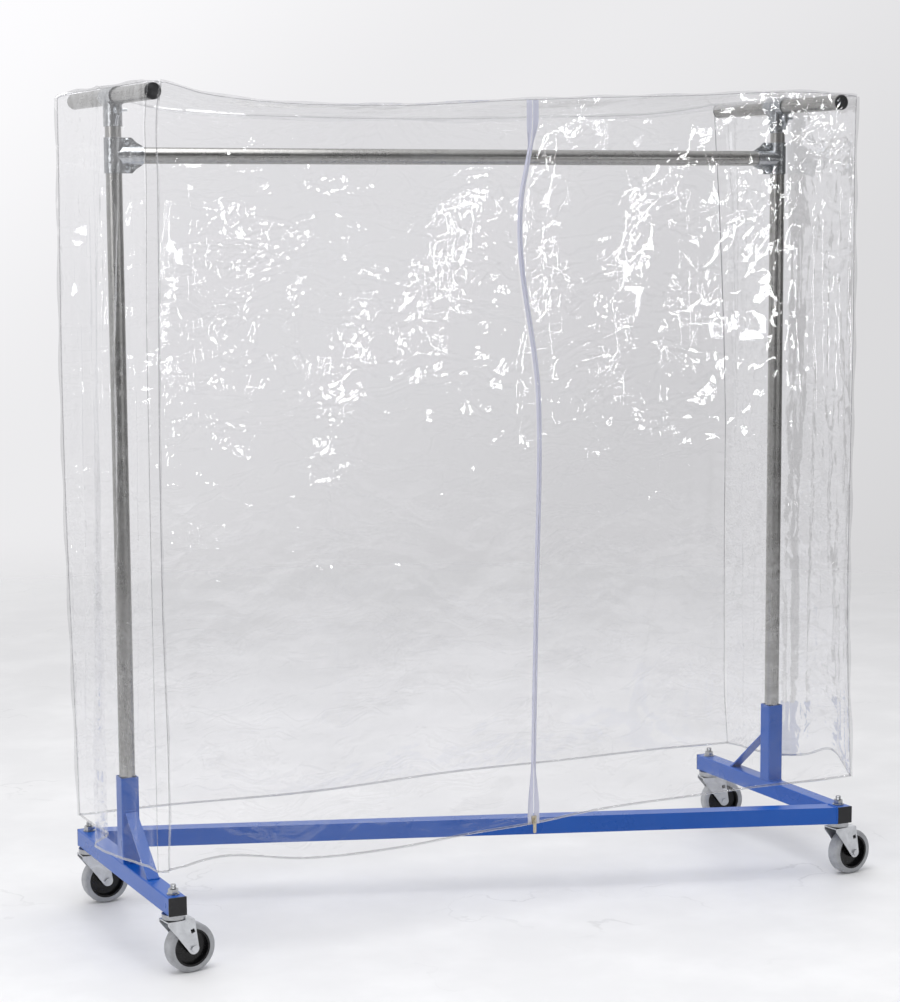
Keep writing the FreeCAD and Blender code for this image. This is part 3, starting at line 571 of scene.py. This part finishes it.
def seam_x(corner, z):
    """Where a vertical seam runs: the cover hangs a little askew on its bars."""
    places = {
        "front_left": [(0.20, -0.802), (0.955, -0.804), (1.56, -0.799), (1.73, -0.795), (1.77, -0.789)],
        "front_right": [(0.20, 0.843), (0.54, 0.832), (1.31, 0.829), (1.77, 0.832)],
        "rear_left": [(0.20, -0.826), (1.12, -0.842), (1.77, -0.836)],
        "rear_right": [(0.20, 0.843), (1.30, 0.818), (1.77, 0.791)],
    }
    return curve(places[corner], z)


def zip_x(z):
    """The closed zip wanders sideways between its two ends."""
    low = [(0.20, 0.020), (0.24, 0.020), (0.30, 0.0205), (0.69, 0.028), (1.12, 0.034)]
    return curve(low + [(1.54, -0.006), (1.66, 0.017), (1.70, 0.020), (1.735, 0.020), (1.77, 0.020)], z)


COVER_X = 0.84
TOP_SLACK = 0.020
OVER_BAR, OVER_CLAMP = 1.7656, 1.7690
BAR_END_Y = 0.2575
BLEND = 300  # how sharply the slack film turns up over a bar, per metre


def top_z(x, y):
    """Height of the top sheet: held up by the two bars and their clamps, and slack between."""
    front = curve([(-0.84, 1.757), (-0.789, 1.7632), (-0.70, 1.744), (-0.604, 1.733), (-0.325, 1.727),
                   (0.018, 1.742), (0.377, 1.756), (0.80, 1.763), (0.84, 1.759)], x)
    back = curve([(-0.84, 1.752), (-0.80, 1.760), (-0.60, 1.736), (-0.20, 1.722), (0.30, 1.728),
                  (0.65, 1.742), (0.80, 1.757), (0.84, 1.752)], x)
    share = np.clip((y + WALL_Y) / (2 * WALL_Y), 0.0, 1.0)
    belly = TOP_SLACK * 4 * share * (1 - share) * (1 - (x / COVER_X) ** 4)
    slack = front * (1 - share) + back * share - belly
    off = np.abs(np.abs(x) - BAR_X)
    on_bar = OVER_BAR - 7.0 * np.clip(off - 0.008, 0.0, None) ** 2 - 0.18 * np.clip(off - 0.02, 0.0, None)
    on_clamp = OVER_CLAMP - 0.9 * np.clip(np.hypot(off, 0.55 * y) - 0.022, 0.0, None)
    past_end = 0.020 * np.clip((np.abs(y) - BAR_END_Y) / 0.02, 0.0, 1.0)
    over = np.maximum(on_bar - past_end, on_clamp)
    return np.logaddexp(slack * BLEND, over * BLEND) / BLEND


# Plan lines of the walls, as (x, y) points: each wall fades from its top line to its hem line.
WALLS = {
    "front": (
        [(-0.84, -0.263), (-0.55, -0.259), (-0.20, -0.257), (0.02, -0.2648), (0.30, -0.259),
         (0.60, -0.261), (0.85, -0.263)],
        [(-0.84, -0.262), (-0.79, -0.259), (-0.673, -0.238), (-0.525, -0.274), (-0.307, -0.288),
         (-0.133, -0.268), (0.02, -0.2648), (0.15, -0.246), (0.43, -0.239), (0.619, -0.236),
         (0.77, -0.259), (0.85, -0.263)],
    ),
    "back": (
        [(-0.85, 0.262), (-0.40, 0.257), (0.10, 0.255), (0.50, 0.258), (0.85, 0.262)],
        [(-0.85, 0.258), (-0.60, 0.268), (-0.30, 0.250), (0.05, 0.262), (0.35, 0.246),
         (0.62, 0.262), (0.85, 0.260)],
    ),
    "left": (
        [(-0.828, 0.215), (-0.8255, 0.055), (-0.829, -0.040), (-0.825, -0.125), (-0.8235, -0.222),
         (-0.8215, -0.257)],
        [(-0.8275, 0.150), (-0.8245, 0.062), (-0.882, -0.030), (-0.870, -0.125), (-0.829, -0.222),
         (-0.8215, -0.257)],
    ),
    "right": (
        [(0.828, -0.150), (0.8255, 0.0), (0.825, 0.150), (0.8235, 0.230), (0.820, 0.2605)],
        [(0.857, -0.160), (0.838, -0.060), (0.829, 0.040), (0.836, 0.150), (0.846, 0.225)],
    ),
}
# How far the hem lies above its nominal height: along X for the long walls, along the share of the
# way round for the ends.
HEM_RISE = {
    "front": [(-0.84, -0.003), (-0.67, 0.007), (-0.525, -0.007), (-0.307, -0.008), (0.02, 0.0),
              (0.15, 0.004), (0.43, 0.007), (0.62, 0.008), (0.85, 0.014)],
    "back": [(-0.85, -0.002), (-0.3, -0.010), (0.3, -0.004), (0.85, -0.014)],
    "left": [(0.0, -0.002), (0.35, 0.002), (0.6, 0.006), (1.0, -0.003)],
    "right": [(0.0, 0.014), (0.2, 0.054), (0.34, 0.028), (0.48, 0.012), (0.75, -0.004), (1.0, -0.014)],
}


def creases(across_m, down_m, count, seed, longest=0.30, tall=0.0015, upright=0.35):
    """Heights of many sharp creases, each a short tent-shaped ridge across a sheet."""
    draw = np.random.default_rng(seed)
    height = np.zeros_like(across_m)
    width, drop = across_m.max(), down_m.max()
    for _ in range(count):
        centre = draw.uniform(0, width), draw.uniform(0, drop)
        steep = draw.random() < upright
        angle = draw.normal(math.pi / 2, 0.18) if steep else draw.uniform(0, math.pi)
        half = draw.uniform(0.25, 1.0) * longest * (1.6 if steep else 1.0)
        thick = draw.uniform(0.007, 0.026)
        rise = draw.choice((-1, 1)) * draw.uniform(0.3, 1.0) * tall
        x, z = across_m - centre[0], down_m - centre[1]
        along = x * math.cos(angle) + z * math.sin(angle)
        off = z * math.cos(angle) - x * math.sin(angle) + 0.06 * along * along / half
        ends = np.clip(1 - (along / half) ** 2, 0, None) ** 1.5
        height += rise * ends * np.exp(-np.sqrt((off / thick) ** 2 + 0.02))
    return height


def ripples(across_m, down_m, seed):
    """Broad soft swells of a heavy sheet that hangs free."""
    draw = np.random.default_rng(seed)
    height = np.zeros_like(across_m)
    for _ in range(9):
        wide, tall = draw.uniform(2.5, 9.0), draw.uniform(0.6, 3.2)
        swell = draw.uniform(0.0012, 0.0034)
        height += swell * np.sin(wide * across_m * 2 + tall * down_m * 2 + draw.uniform(0, math.tau))
    return height


def grid_faces(rows, columns):
    faces = []
    for r in range(rows - 1):
        for c in range(columns - 1):
            a = r * columns + c
            faces.append((a, a + columns, a + columns + 1, a + 1))
    return faces


def at_least(value, limit, soft=0.0008):
    """The larger of two lengths, with the corner between them rounded."""
    return soft * np.logaddexp(value / soft, limit / soft)


def clear_of_bar_ends(x, y):
    """Hold a long wall in front of the bars' ends and clamps, so that the cover can lift off."""
    near = np.clip((np.abs(x) - 0.715) / 0.05, 0.0, 1.0)
    near = near * near * (3 - 2 * near)
    return np.sign(y) * at_least(np.abs(y), KEEP_Y - 0.030 * (1 - near))


def clear_of_bars(x, y):
    """Hold an end wall outside the bars' flanks. Past the bars' ends it's free to wrap round."""
    beside = np.clip((KEEP_Y + 0.001 - np.abs(y)) / 0.003, 0.0, 1.0)
    held = at_least(np.abs(x), KEEP_X - 0.02 * (1 - beside))
    return np.sign(x) * np.where(beside > 0, held, np.abs(x))


def flat_wall(side, x, down, seed, count):
    """A front or back sheet, from the X of each of its points and the share of the way down."""
    top_line, hem_line = WALLS[side]
    outward = -1.0 if side == "front" else 1.0
    drop = down ** 0.8
    y = curve(top_line, x) * (1 - drop) + curve(hem_line, x) * drop
    top = top_z(x, y)
    bottom = hem_z + curve(HEM_RISE[side], x)
    z = top * (1 - down) + bottom * down
    loose = np.clip(down * 9, 0, 1) * np.clip((1 - down) * 14, 0.15, 1)
    near_zip = np.clip((np.abs(x - zip_x(z)) - 0.006) / 0.05, 0, 1) if side == "front" else 1.0
    fold = creases(x - x.min(), top - z, count, seed) + ripples(x - x.min(), top - z, seed + 1)
    ends = np.exp(-((np.abs(x) - 0.80) / 0.10) ** 2)
    fold += 0.004 * ends * np.sin(x * 95 + 3 * down + 1.5 * np.sin(7 * down)) * np.clip(down * 4, 0, 1)
    y = y + outward * fold * loose * near_zip
    return np.stack([x, clear_of_bar_ends(x, y), z], axis=-1)


FRONT_SEAM_Y, BACK_SEAM_Y = -0.263, 0.262


def end_wall(side, down, seed, count):
    """An end sheet, which wraps round the corners of the bars to its two seams."""
    top_line, hem_line = WALLS[side]
    t = np.linspace(0.0, 1.0, int(END_WIDE / CELL) + 1)
    rows = []
    height = curve([(0.0, cover_top - 0.008), (1.0, hem_z)], down[:, 0])
    for k, z in zip(down[:, 0], height):
        drop = k ** 0.75
        if side == "left":
            start = (seam_x("rear_left", z), BACK_SEAM_Y - 0.004 * k)
            end = (seam_x("front_left", z), FRONT_SEAM_Y + 0.002 * k)
        else:
            start = (seam_x("front_right", z), FRONT_SEAM_Y)
            end = (seam_x("rear_right", z), BACK_SEAM_Y - 0.002 * k)
        middle = np.array(top_line) * (1 - drop) + np.array(hem_line) * drop
        rows.append(path([start, *middle, end], t))
    plan = np.array(rows)
    x, y = plan[..., 0], plan[..., 1]
    share = np.broadcast_to(t, x.shape)
    top = top_z(x, y)
    bottom = hem_z + curve(HEM_RISE[side], share)
    z = top * (1 - down) + bottom * down
    from_seams = np.clip(np.minimum(share, 1 - share) * 12, 0, 1)
    loose = np.clip(down * 9, 0, 1) * np.clip((1 - down) * 14, 0.25, 1) * from_seams
    fold = creases(share * END_WIDE, down * 1.55, count, seed, longest=0.5, tall=0.0046, upright=0.85)
    swing = share * 46 + 2.2 * np.sin(3.1 * down + seed)
    fold += 0.0060 * np.sin(swing) * np.clip(down * 2.5, 0, 1) * (0.5 + 0.5 * share)
    fold += 0.0026 * np.sin(2.3 * swing + 1.3 * np.sin(5.0 * down)) * np.clip(down * 4, 0, 1)
    outward = -1.0 if side == "left" else 1.0
    x = x + outward * (np.abs(fold) * 0.9 + fold * 0.3) * loose
    return np.stack([clear_of_bars(x, y), y, z], axis=-1)


MOST_MIRRORED = 0.30
VINYL_IOR = 1.56


def tip(finish, where, lean, stretch):
    """A place tipped over about Y and stretched, so that marks on the film run aslant."""
    return finish.node("Mapping", None, {"Vector": where, "Rotation": (0.0, lean, 0.0), "Scale": stretch})


def vinyl(name, milk, edge=0.0, tint=0.965, crumple=0.0042):
    """Clear plasticised vinyl: flat crumpled facets that mirror the lamps, and a milky bloom that is
    thickest in smears, low down, and along the edges of the facets. The smears and streaks are partly
    the film's own haze and partly painted reflection of the bright floor, which thickens them low down."""
    clear = Finish(name, Base_Color=(0.97, 0.97, 0.98, 1.0), Metallic=1.0, Roughness=0.035)
    where = clear.place()
    bent = clear.wander(where, 3.2, 3.0, (0.22, 0.22, 0.22))
    tipped = tip(clear, bent, 0.75, (0.62, 1.0, 1.15))
    large, middle, small = clear.cells(tipped, 7.5), clear.cells(tipped, 19.0), clear.cells(bent, 47.0)
    swell = clear.noise(where, 5.0, warp=0.8)
    fine = clear.noise(tipped, 85.0, detail=3.0, rough=0.6, warp=0.4)
    crumpled = clear.ramp(clear.noise(where, 2.6, detail=3.0, rough=0.6), 0.36, 0.62)
    height = large + swell * 1.1 + crumpled * (middle * 0.45 + small * 0.13) + fine * 0.012
    soft = clear.bump(height, crumple)
    clear.feed(Normal=soft)
    through = clear.node("BsdfTransparent", None, {"Color": (tint, tint, tint + 0.005, 1.0)})
    shine = clear.node("Fresnel", None, {"IOR": VINYL_IOR, "Normal": soft})
    mirror = shine.math("MINIMUM", shine, MOST_MIRRORED)
    glossy = clear.node("MixShader", None, {0: mirror, 1: through, 2: clear.principled()})
    cloud = clear.ramp(clear.noise(tipped, 4.0, detail=6.0, rough=0.62, warp=1.6), 0.46, 0.80)
    # Whitish aslant streaks: partly haze in the film, partly painted reflection.
    aslant = tip(clear, bent, 0.5, (0.4, 1.0, 2.2))
    streak_noise = clear.noise(aslant, 9.0, detail=5.0, rough=0.65, warp=0.9)
    streak = clear.ramp(streak_noise, 0.54, 0.60) * clear.ramp(streak_noise, 0.66, 0.60)
    rise = clear.node("SeparateXYZ", None, {"Vector": where}, out=2)
    # Painted reflection of the bright floor: the smears turn whiter lower down, over the film's own haze.
    floor_reflection_share = 0.45 + 0.55 * clear.ramp(rise, 1.25, 0.55)
    edges = clear.ramp(large, 0.030, 0.0) + clear.ramp(middle, 0.035, 0.0) * crumpled
    whitened = edges * clear.ramp(cloud, 0.0, 0.5)
    bloom = clear.node("BsdfDiffuse", None, {"Color": (0.93, 0.93, 0.945, 1.0)})
    haze = milk * (0.10 + floor_reflection_share * (1.1 * cloud + 2.8 * streak) + 1.5 * whitened) + edge
    clear.output(clear.node("MixShader", None, {0: haze, 1: glossy, 2: bloom}))
    return clear


film = vinyl("clear_vinyl_film", 0.034)
end_film = vinyl("clear_vinyl_end_film", 0.034, crumple=0.0085)
welded = vinyl("clear_vinyl_welded", 0.03, edge=0.05, tint=0.80)
hung = {}


def hang(name, points, wide, high, finish):
    """One sheet of the cover, from its grid of points and its width and height when laid flat, in
    place of its plain panel."""
    rows, columns = points.shape[:2]
    made = piece(name + "_sheet", points.reshape(-1, 3), grid_faces(rows, columns), finish, "cover", SHEET)
    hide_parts(name + "_panel")
    hung[name] = (made, (wide, high), [])


down = np.linspace(0.0, 1.0, ROWS + 1)[:, None]
wall_drop = cover_top - hem_z
rows_z = cover_top * (1 - down) + hem_z * down
to_zip = np.linspace(0.0, 1.0, int(FRONT_WIDE / CELL) + 1)[None, :]
left_x = seam_x("front_left", rows_z) * (1 - to_zip) + (zip_x(rows_z) - ZIP_HALF_GAP) * to_zip
right_x = (zip_x(rows_z) + ZIP_HALF_GAP) * (1 - to_zip) + seam_x("front_right", rows_z) * to_zip
along_back = np.linspace(0.0, 1.0, int(BACK_WIDE / CELL) + 1)[None, :]
back_x = seam_x("rear_left", rows_z) * (1 - along_back) + seam_x("rear_right", rows_z) * along_back
sheets = {
    "front_left": flat_wall("front", left_x, down, seed=11, count=95),
    "front_right": flat_wall("front", right_x, down, seed=23, count=105),
    "back": flat_wall("back", back_x, down, seed=37, count=130),
    "left_end": end_wall("left", down, seed=41, count=70),
    "right_end": end_wall("right", down, seed=59, count=76),
}
hang("front_left", sheets["front_left"], wide=0.84, high=wall_drop, finish=film)
hang("front_right", sheets["front_right"], wide=0.82, high=wall_drop, finish=film)
hang("back", sheets["back"], wide=1.66, high=wall_drop, finish=film)
hang("left_end", sheets["left_end"], wide=0.56, high=wall_drop, finish=end_film)
hang("right_end", sheets["right_end"], wide=0.56, high=wall_drop, finish=end_film)

# The top sheet spans between the four walls' upper edges.
TOP_COLUMNS, TOP_ROWS = 164, 54
front_edge = np.concatenate([sheets["front_left"][0], sheets["front_right"][0]])
back_edge = sheets["back"][0]
left_edge = sheets["left_end"][0][::-1]
right_edge = sheets["right_end"][0]


def spaced(line, count):
    """The same line with evenly spaced points."""
    far = np.concatenate([[0.0], np.cumsum(np.linalg.norm(np.diff(line, axis=0), axis=1))])
    even = np.linspace(0.0, far[-1], count)
    return np.stack([np.interp(even, far, line[:, i]) for i in range(3)], axis=-1)


def top_sheet():
    """The grid of the top sheet: its plan is blended between its four edges, and its height
    leaves them for the bars and the slack between."""
    front, back = spaced(front_edge, TOP_COLUMNS)[None], spaced(back_edge, TOP_COLUMNS)[None]
    left, right = spaced(left_edge, TOP_ROWS)[:, None], spaced(right_edge, TOP_ROWS)[:, None]
    s, t = np.linspace(0, 1, TOP_COLUMNS)[None, :, None], np.linspace(0, 1, TOP_ROWS)[:, None, None]
    flat = (1 - t) * front + t * back + (1 - s) * left + s * right
    flat = flat - ((1 - s) * (1 - t) * front[:, :1] + s * (1 - t) * front[:, -1:]
                   + (1 - s) * t * back[:, :1] + s * t * back[:, -1:])
    x, y = flat[..., 0], flat[..., 1]
    edge = np.clip(np.minimum(np.minimum(s, 1 - s) * 20, np.minimum(t, 1 - t) * 6)[..., 0], 0, 1)
    from_left, from_front = x - x.min(), y - y.min()
    fold = creases(from_left, from_front, count=60, seed=71, longest=0.25, tall=0.0022, upright=0.2)
    fold = fold + 0.6 * ripples(from_left, from_front, seed=73)
    free = np.clip((np.abs(np.abs(x) - BAR_X) - 0.04) / 0.1, 0, 1)
    z = np.where(edge > 0, top_z(x, y) + fold * edge * free, flat[..., 2])
    return np.stack([x, y, z], axis=-1)


hang("top", top_sheet(), wide=1.66, high=0.53, finish=film)

# Welded seams: the edges of two sheets lie together and stand out as a narrow fin with a bead.
FIN = 0.0065
SEAM_BEAD = 0.0011
SEAM_RING = 6


def weld_on(sheet, name, points, faces):
    """A doubled strip of vinyl that is part of one of the sheets."""
    hung[sheet][2].append(piece(name, points, faces, welded, "cover", SHEET))


def fin(sheet, name, line, outward):
    """A doubled edge that stands out from a seam, and the bead of the weld along its root."""
    line = np.asarray(line, float)
    outward = np.asarray(outward, float)
    sway = 1.0 + 0.25 * np.sin(np.arange(len(line)) * 0.37 + len(line))
    lip = line + outward * (FIN * sway)[:, None]
    points = np.stack([line, lip], axis=1).reshape(-1, 3)
    faces = [(2 * k, 2 * k + 1, 2 * k + 3, 2 * k + 2) for k in range(len(line) - 1)]
    weld_on(sheet, name + "_fin", points, faces)
    weld_on(sheet, name + "_bead", *tube_along(line, np.full(len(line), SEAM_BEAD), SEAM_RING))


DIAGONAL = math.sqrt(0.5)
tuck = tube_along(sheets["left_end"][:, -3], np.full(ROWS + 1, 0.8 * SEAM_BEAD), SEAM_RING)
weld_on("left_end", "front_left_tuck_bead", *tuck)
fin("front_left", "front_left_seam", sheets["front_left"][:, 0], (0.25, -0.97, 0.0))
fin("front_right", "front_right_seam", sheets["front_right"][:, -1], (DIAGONAL, -DIAGONAL, 0.0))
fin("back", "rear_left_seam", sheets["back"][:, 0], (-DIAGONAL, DIAGONAL, 0.0))
fin("back", "rear_right_seam", sheets["back"][:, -1], (DIAGONAL, DIAGONAL, 0.0))
fin("top", "front_top_seam", front_edge, (0.0, -DIAGONAL, DIAGONAL))
fin("top", "back_top_seam", back_edge, (0.0, DIAGONAL, DIAGONAL))
fin("top", "left_top_seam", left_edge, (-DIAGONAL, 0.0, DIAGONAL))
fin("top", "right_top_seam", right_edge, (DIAGONAL, 0.0, DIAGONAL))

# The hem is folded up and welded into a flat tube of vinyl round the open foot of the cover.
HEM_TALL = 0.0028
HEM_THICK = 0.0012
HEM_RING = 10


def hem(sheet, line):
    """A flattened roll along a sheet's lower edge."""
    points, faces = tube_along(line, np.full(len(line), HEM_TALL), HEM_RING)
    centre = np.repeat(line, HEM_RING, axis=0)
    offset = points - centre
    offset[:, :2] *= HEM_THICK / HEM_TALL
    offset[:, 2] += HEM_TALL * 0.8
    weld_on(sheet, sheet + "_hem", centre + offset, faces)


for name, points in sheets.items():
    hem(name, points[-1])


# ---------------------------------------------------------------- zip
# A continuous coil zip: two woven polyester tapes sewn to the front sheets, a moulded coil on
# each inner edge, and a brass slider with a flat pull that waits at the foot.
TAPE_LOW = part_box("zip_tapes")[0].z
TAPE_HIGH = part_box("zip_tapes")[1].z
ZIP_Y = -0.2653


def woven_tape():
    shaded, lilac, thread = (0.62, 0.63, 0.80, 1.0), (0.78, 0.79, 0.90, 1.0), (0.88, 0.89, 0.96, 1.0)
    tape = Finish("zip_tape_weave", Sheen_Weight=0.3, Specular_IOR_Level=0.3)
    weft = tape.node("TexWave", {"bands_direction": "Z"}, {"Vector": tape.place(), "Scale": 260.0})
    warp = tape.node("TexWave", {"bands_direction": "X"}, {"Vector": tape.place(), "Scale": 330.0})
    shade = tape.noise(tape.place((1.0, 1.0, 0.3)), 30.0, detail=3.0)
    weave = weft * warp
    tape.feed(
        Base_Color=tape.mix(weave * 0.5, tape.mix(shade, shaded, lilac), thread),
        Roughness=0.55 + 0.15 * weave,
        Normal=tape.bump(weave, 0.0003, 0.6),
    )
    return tape


weave = woven_tape()


def zip_line(heights):
    """The zip's centre line, which follows the two front sheets' inner edges."""
    x = zip_x(heights)
    return np.stack([x, np.full_like(x, ZIP_Y), heights], axis=-1)


TAPE_FULL = 0.0130
TAPE_FOLD = TAPE_FULL / 3
TAPE_LAYER = 0.0009
TAPE_CLOTH = 0.0006
TAPE_EDGE = 0.0009  # from the zip's centre line to a tape's inner edge
TAPE_ROWS, TAPE_STRIPS = 180, 18
FOLD_FOOT, FOLD_TOP = (0.235, 0.345), (1.700, 1.640)  # heights where the fold starts and is full


def ease(value, start, full):
    """A share that grows smoothly from 0 at one height to 1 at another."""
    share = np.clip((value - start) / (full - start), 0, 1)
    return share ** 2 * (3 - 2 * share)


def tape(name, way):
    """One tape at its full width: flat at both ends, where the slider waits and stops, and folded
    back on itself twice between them."""
    heights = np.linspace(TAPE_LOW, TAPE_HIGH, TAPE_ROWS)
    folded = ease(heights, *FOLD_FOOT) * ease(heights, *FOLD_TOP)
    spread = np.linspace(0.0, TAPE_FULL, TAPE_STRIPS + 1)
    layer = np.minimum(spread / TAPE_FOLD, 2.999)
    zigzag = TAPE_FOLD * np.where(layer.astype(int) % 2 == 0, layer % 1, 1 - layer % 1)
    points = []
    for (x, y, z), tight in zip(zip_line(heights), folded):
        for out, back, turn in zip(spread, zigzag, layer):
            reach = out * (1 - tight) + back * tight
            points.append((x + way * (TAPE_EDGE + reach), y + tight * TAPE_LAYER * turn, z))
    made = piece(name, points, grid_faces(len(heights), len(spread)), weave, "cover", "zip_tape")
    solid = made.modifiers.new("cloth", "SOLIDIFY")
    solid.thickness = TAPE_CLOTH
    solid.offset = 0.0
    return made


COIL_PITCH = 0.00125
COIL_RADIUS = 0.00115
COIL_WAIST = 0.72
COIL_EDGE = 0.0008
COIL_RING = 6


def coil(name, way):
    """The moulded coil on a tape's inner edge, as a round strand that narrows at every other turn."""
    heights = np.arange(TAPE_LOW, TAPE_HIGH, COIL_PITCH)
    line = zip_line(heights)
    line[:, 0] += way * (COIL_EDGE + COIL_RADIUS)
    turn = COIL_RADIUS * np.where(np.arange(len(heights)) % 2 == 0, 1.0, COIL_WAIST)
    piece(name, *tube_along(line, turn, COIL_RING), weave, "cover", "zip_tape")


left_tape = tape("zip_tape_left", -1)
tape("zip_tape_right", 1)
coil("zip_coil_left", -1)
coil("zip_coil_right", 1)
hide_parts("zip_tapes")


def die_cast():
    dull, rubbed = (0.42, 0.36, 0.26, 1.0), (0.72, 0.66, 0.52, 1.0)
    brass = Finish("worn_brass", Metallic=1.0)
    wear = brass.noise(brass.place(), 220.0, detail=4.0, rough=0.6)
    brass.feed(
        Base_Color=brass.mix(wear, dull, rubbed),
        Roughness=0.24 + 0.2 * wear,
        Normal=brass.bump(wear, 0.0001, 0.5),
    )
    return brass


dress(["zip_slider", "zip_pull"], die_cast())
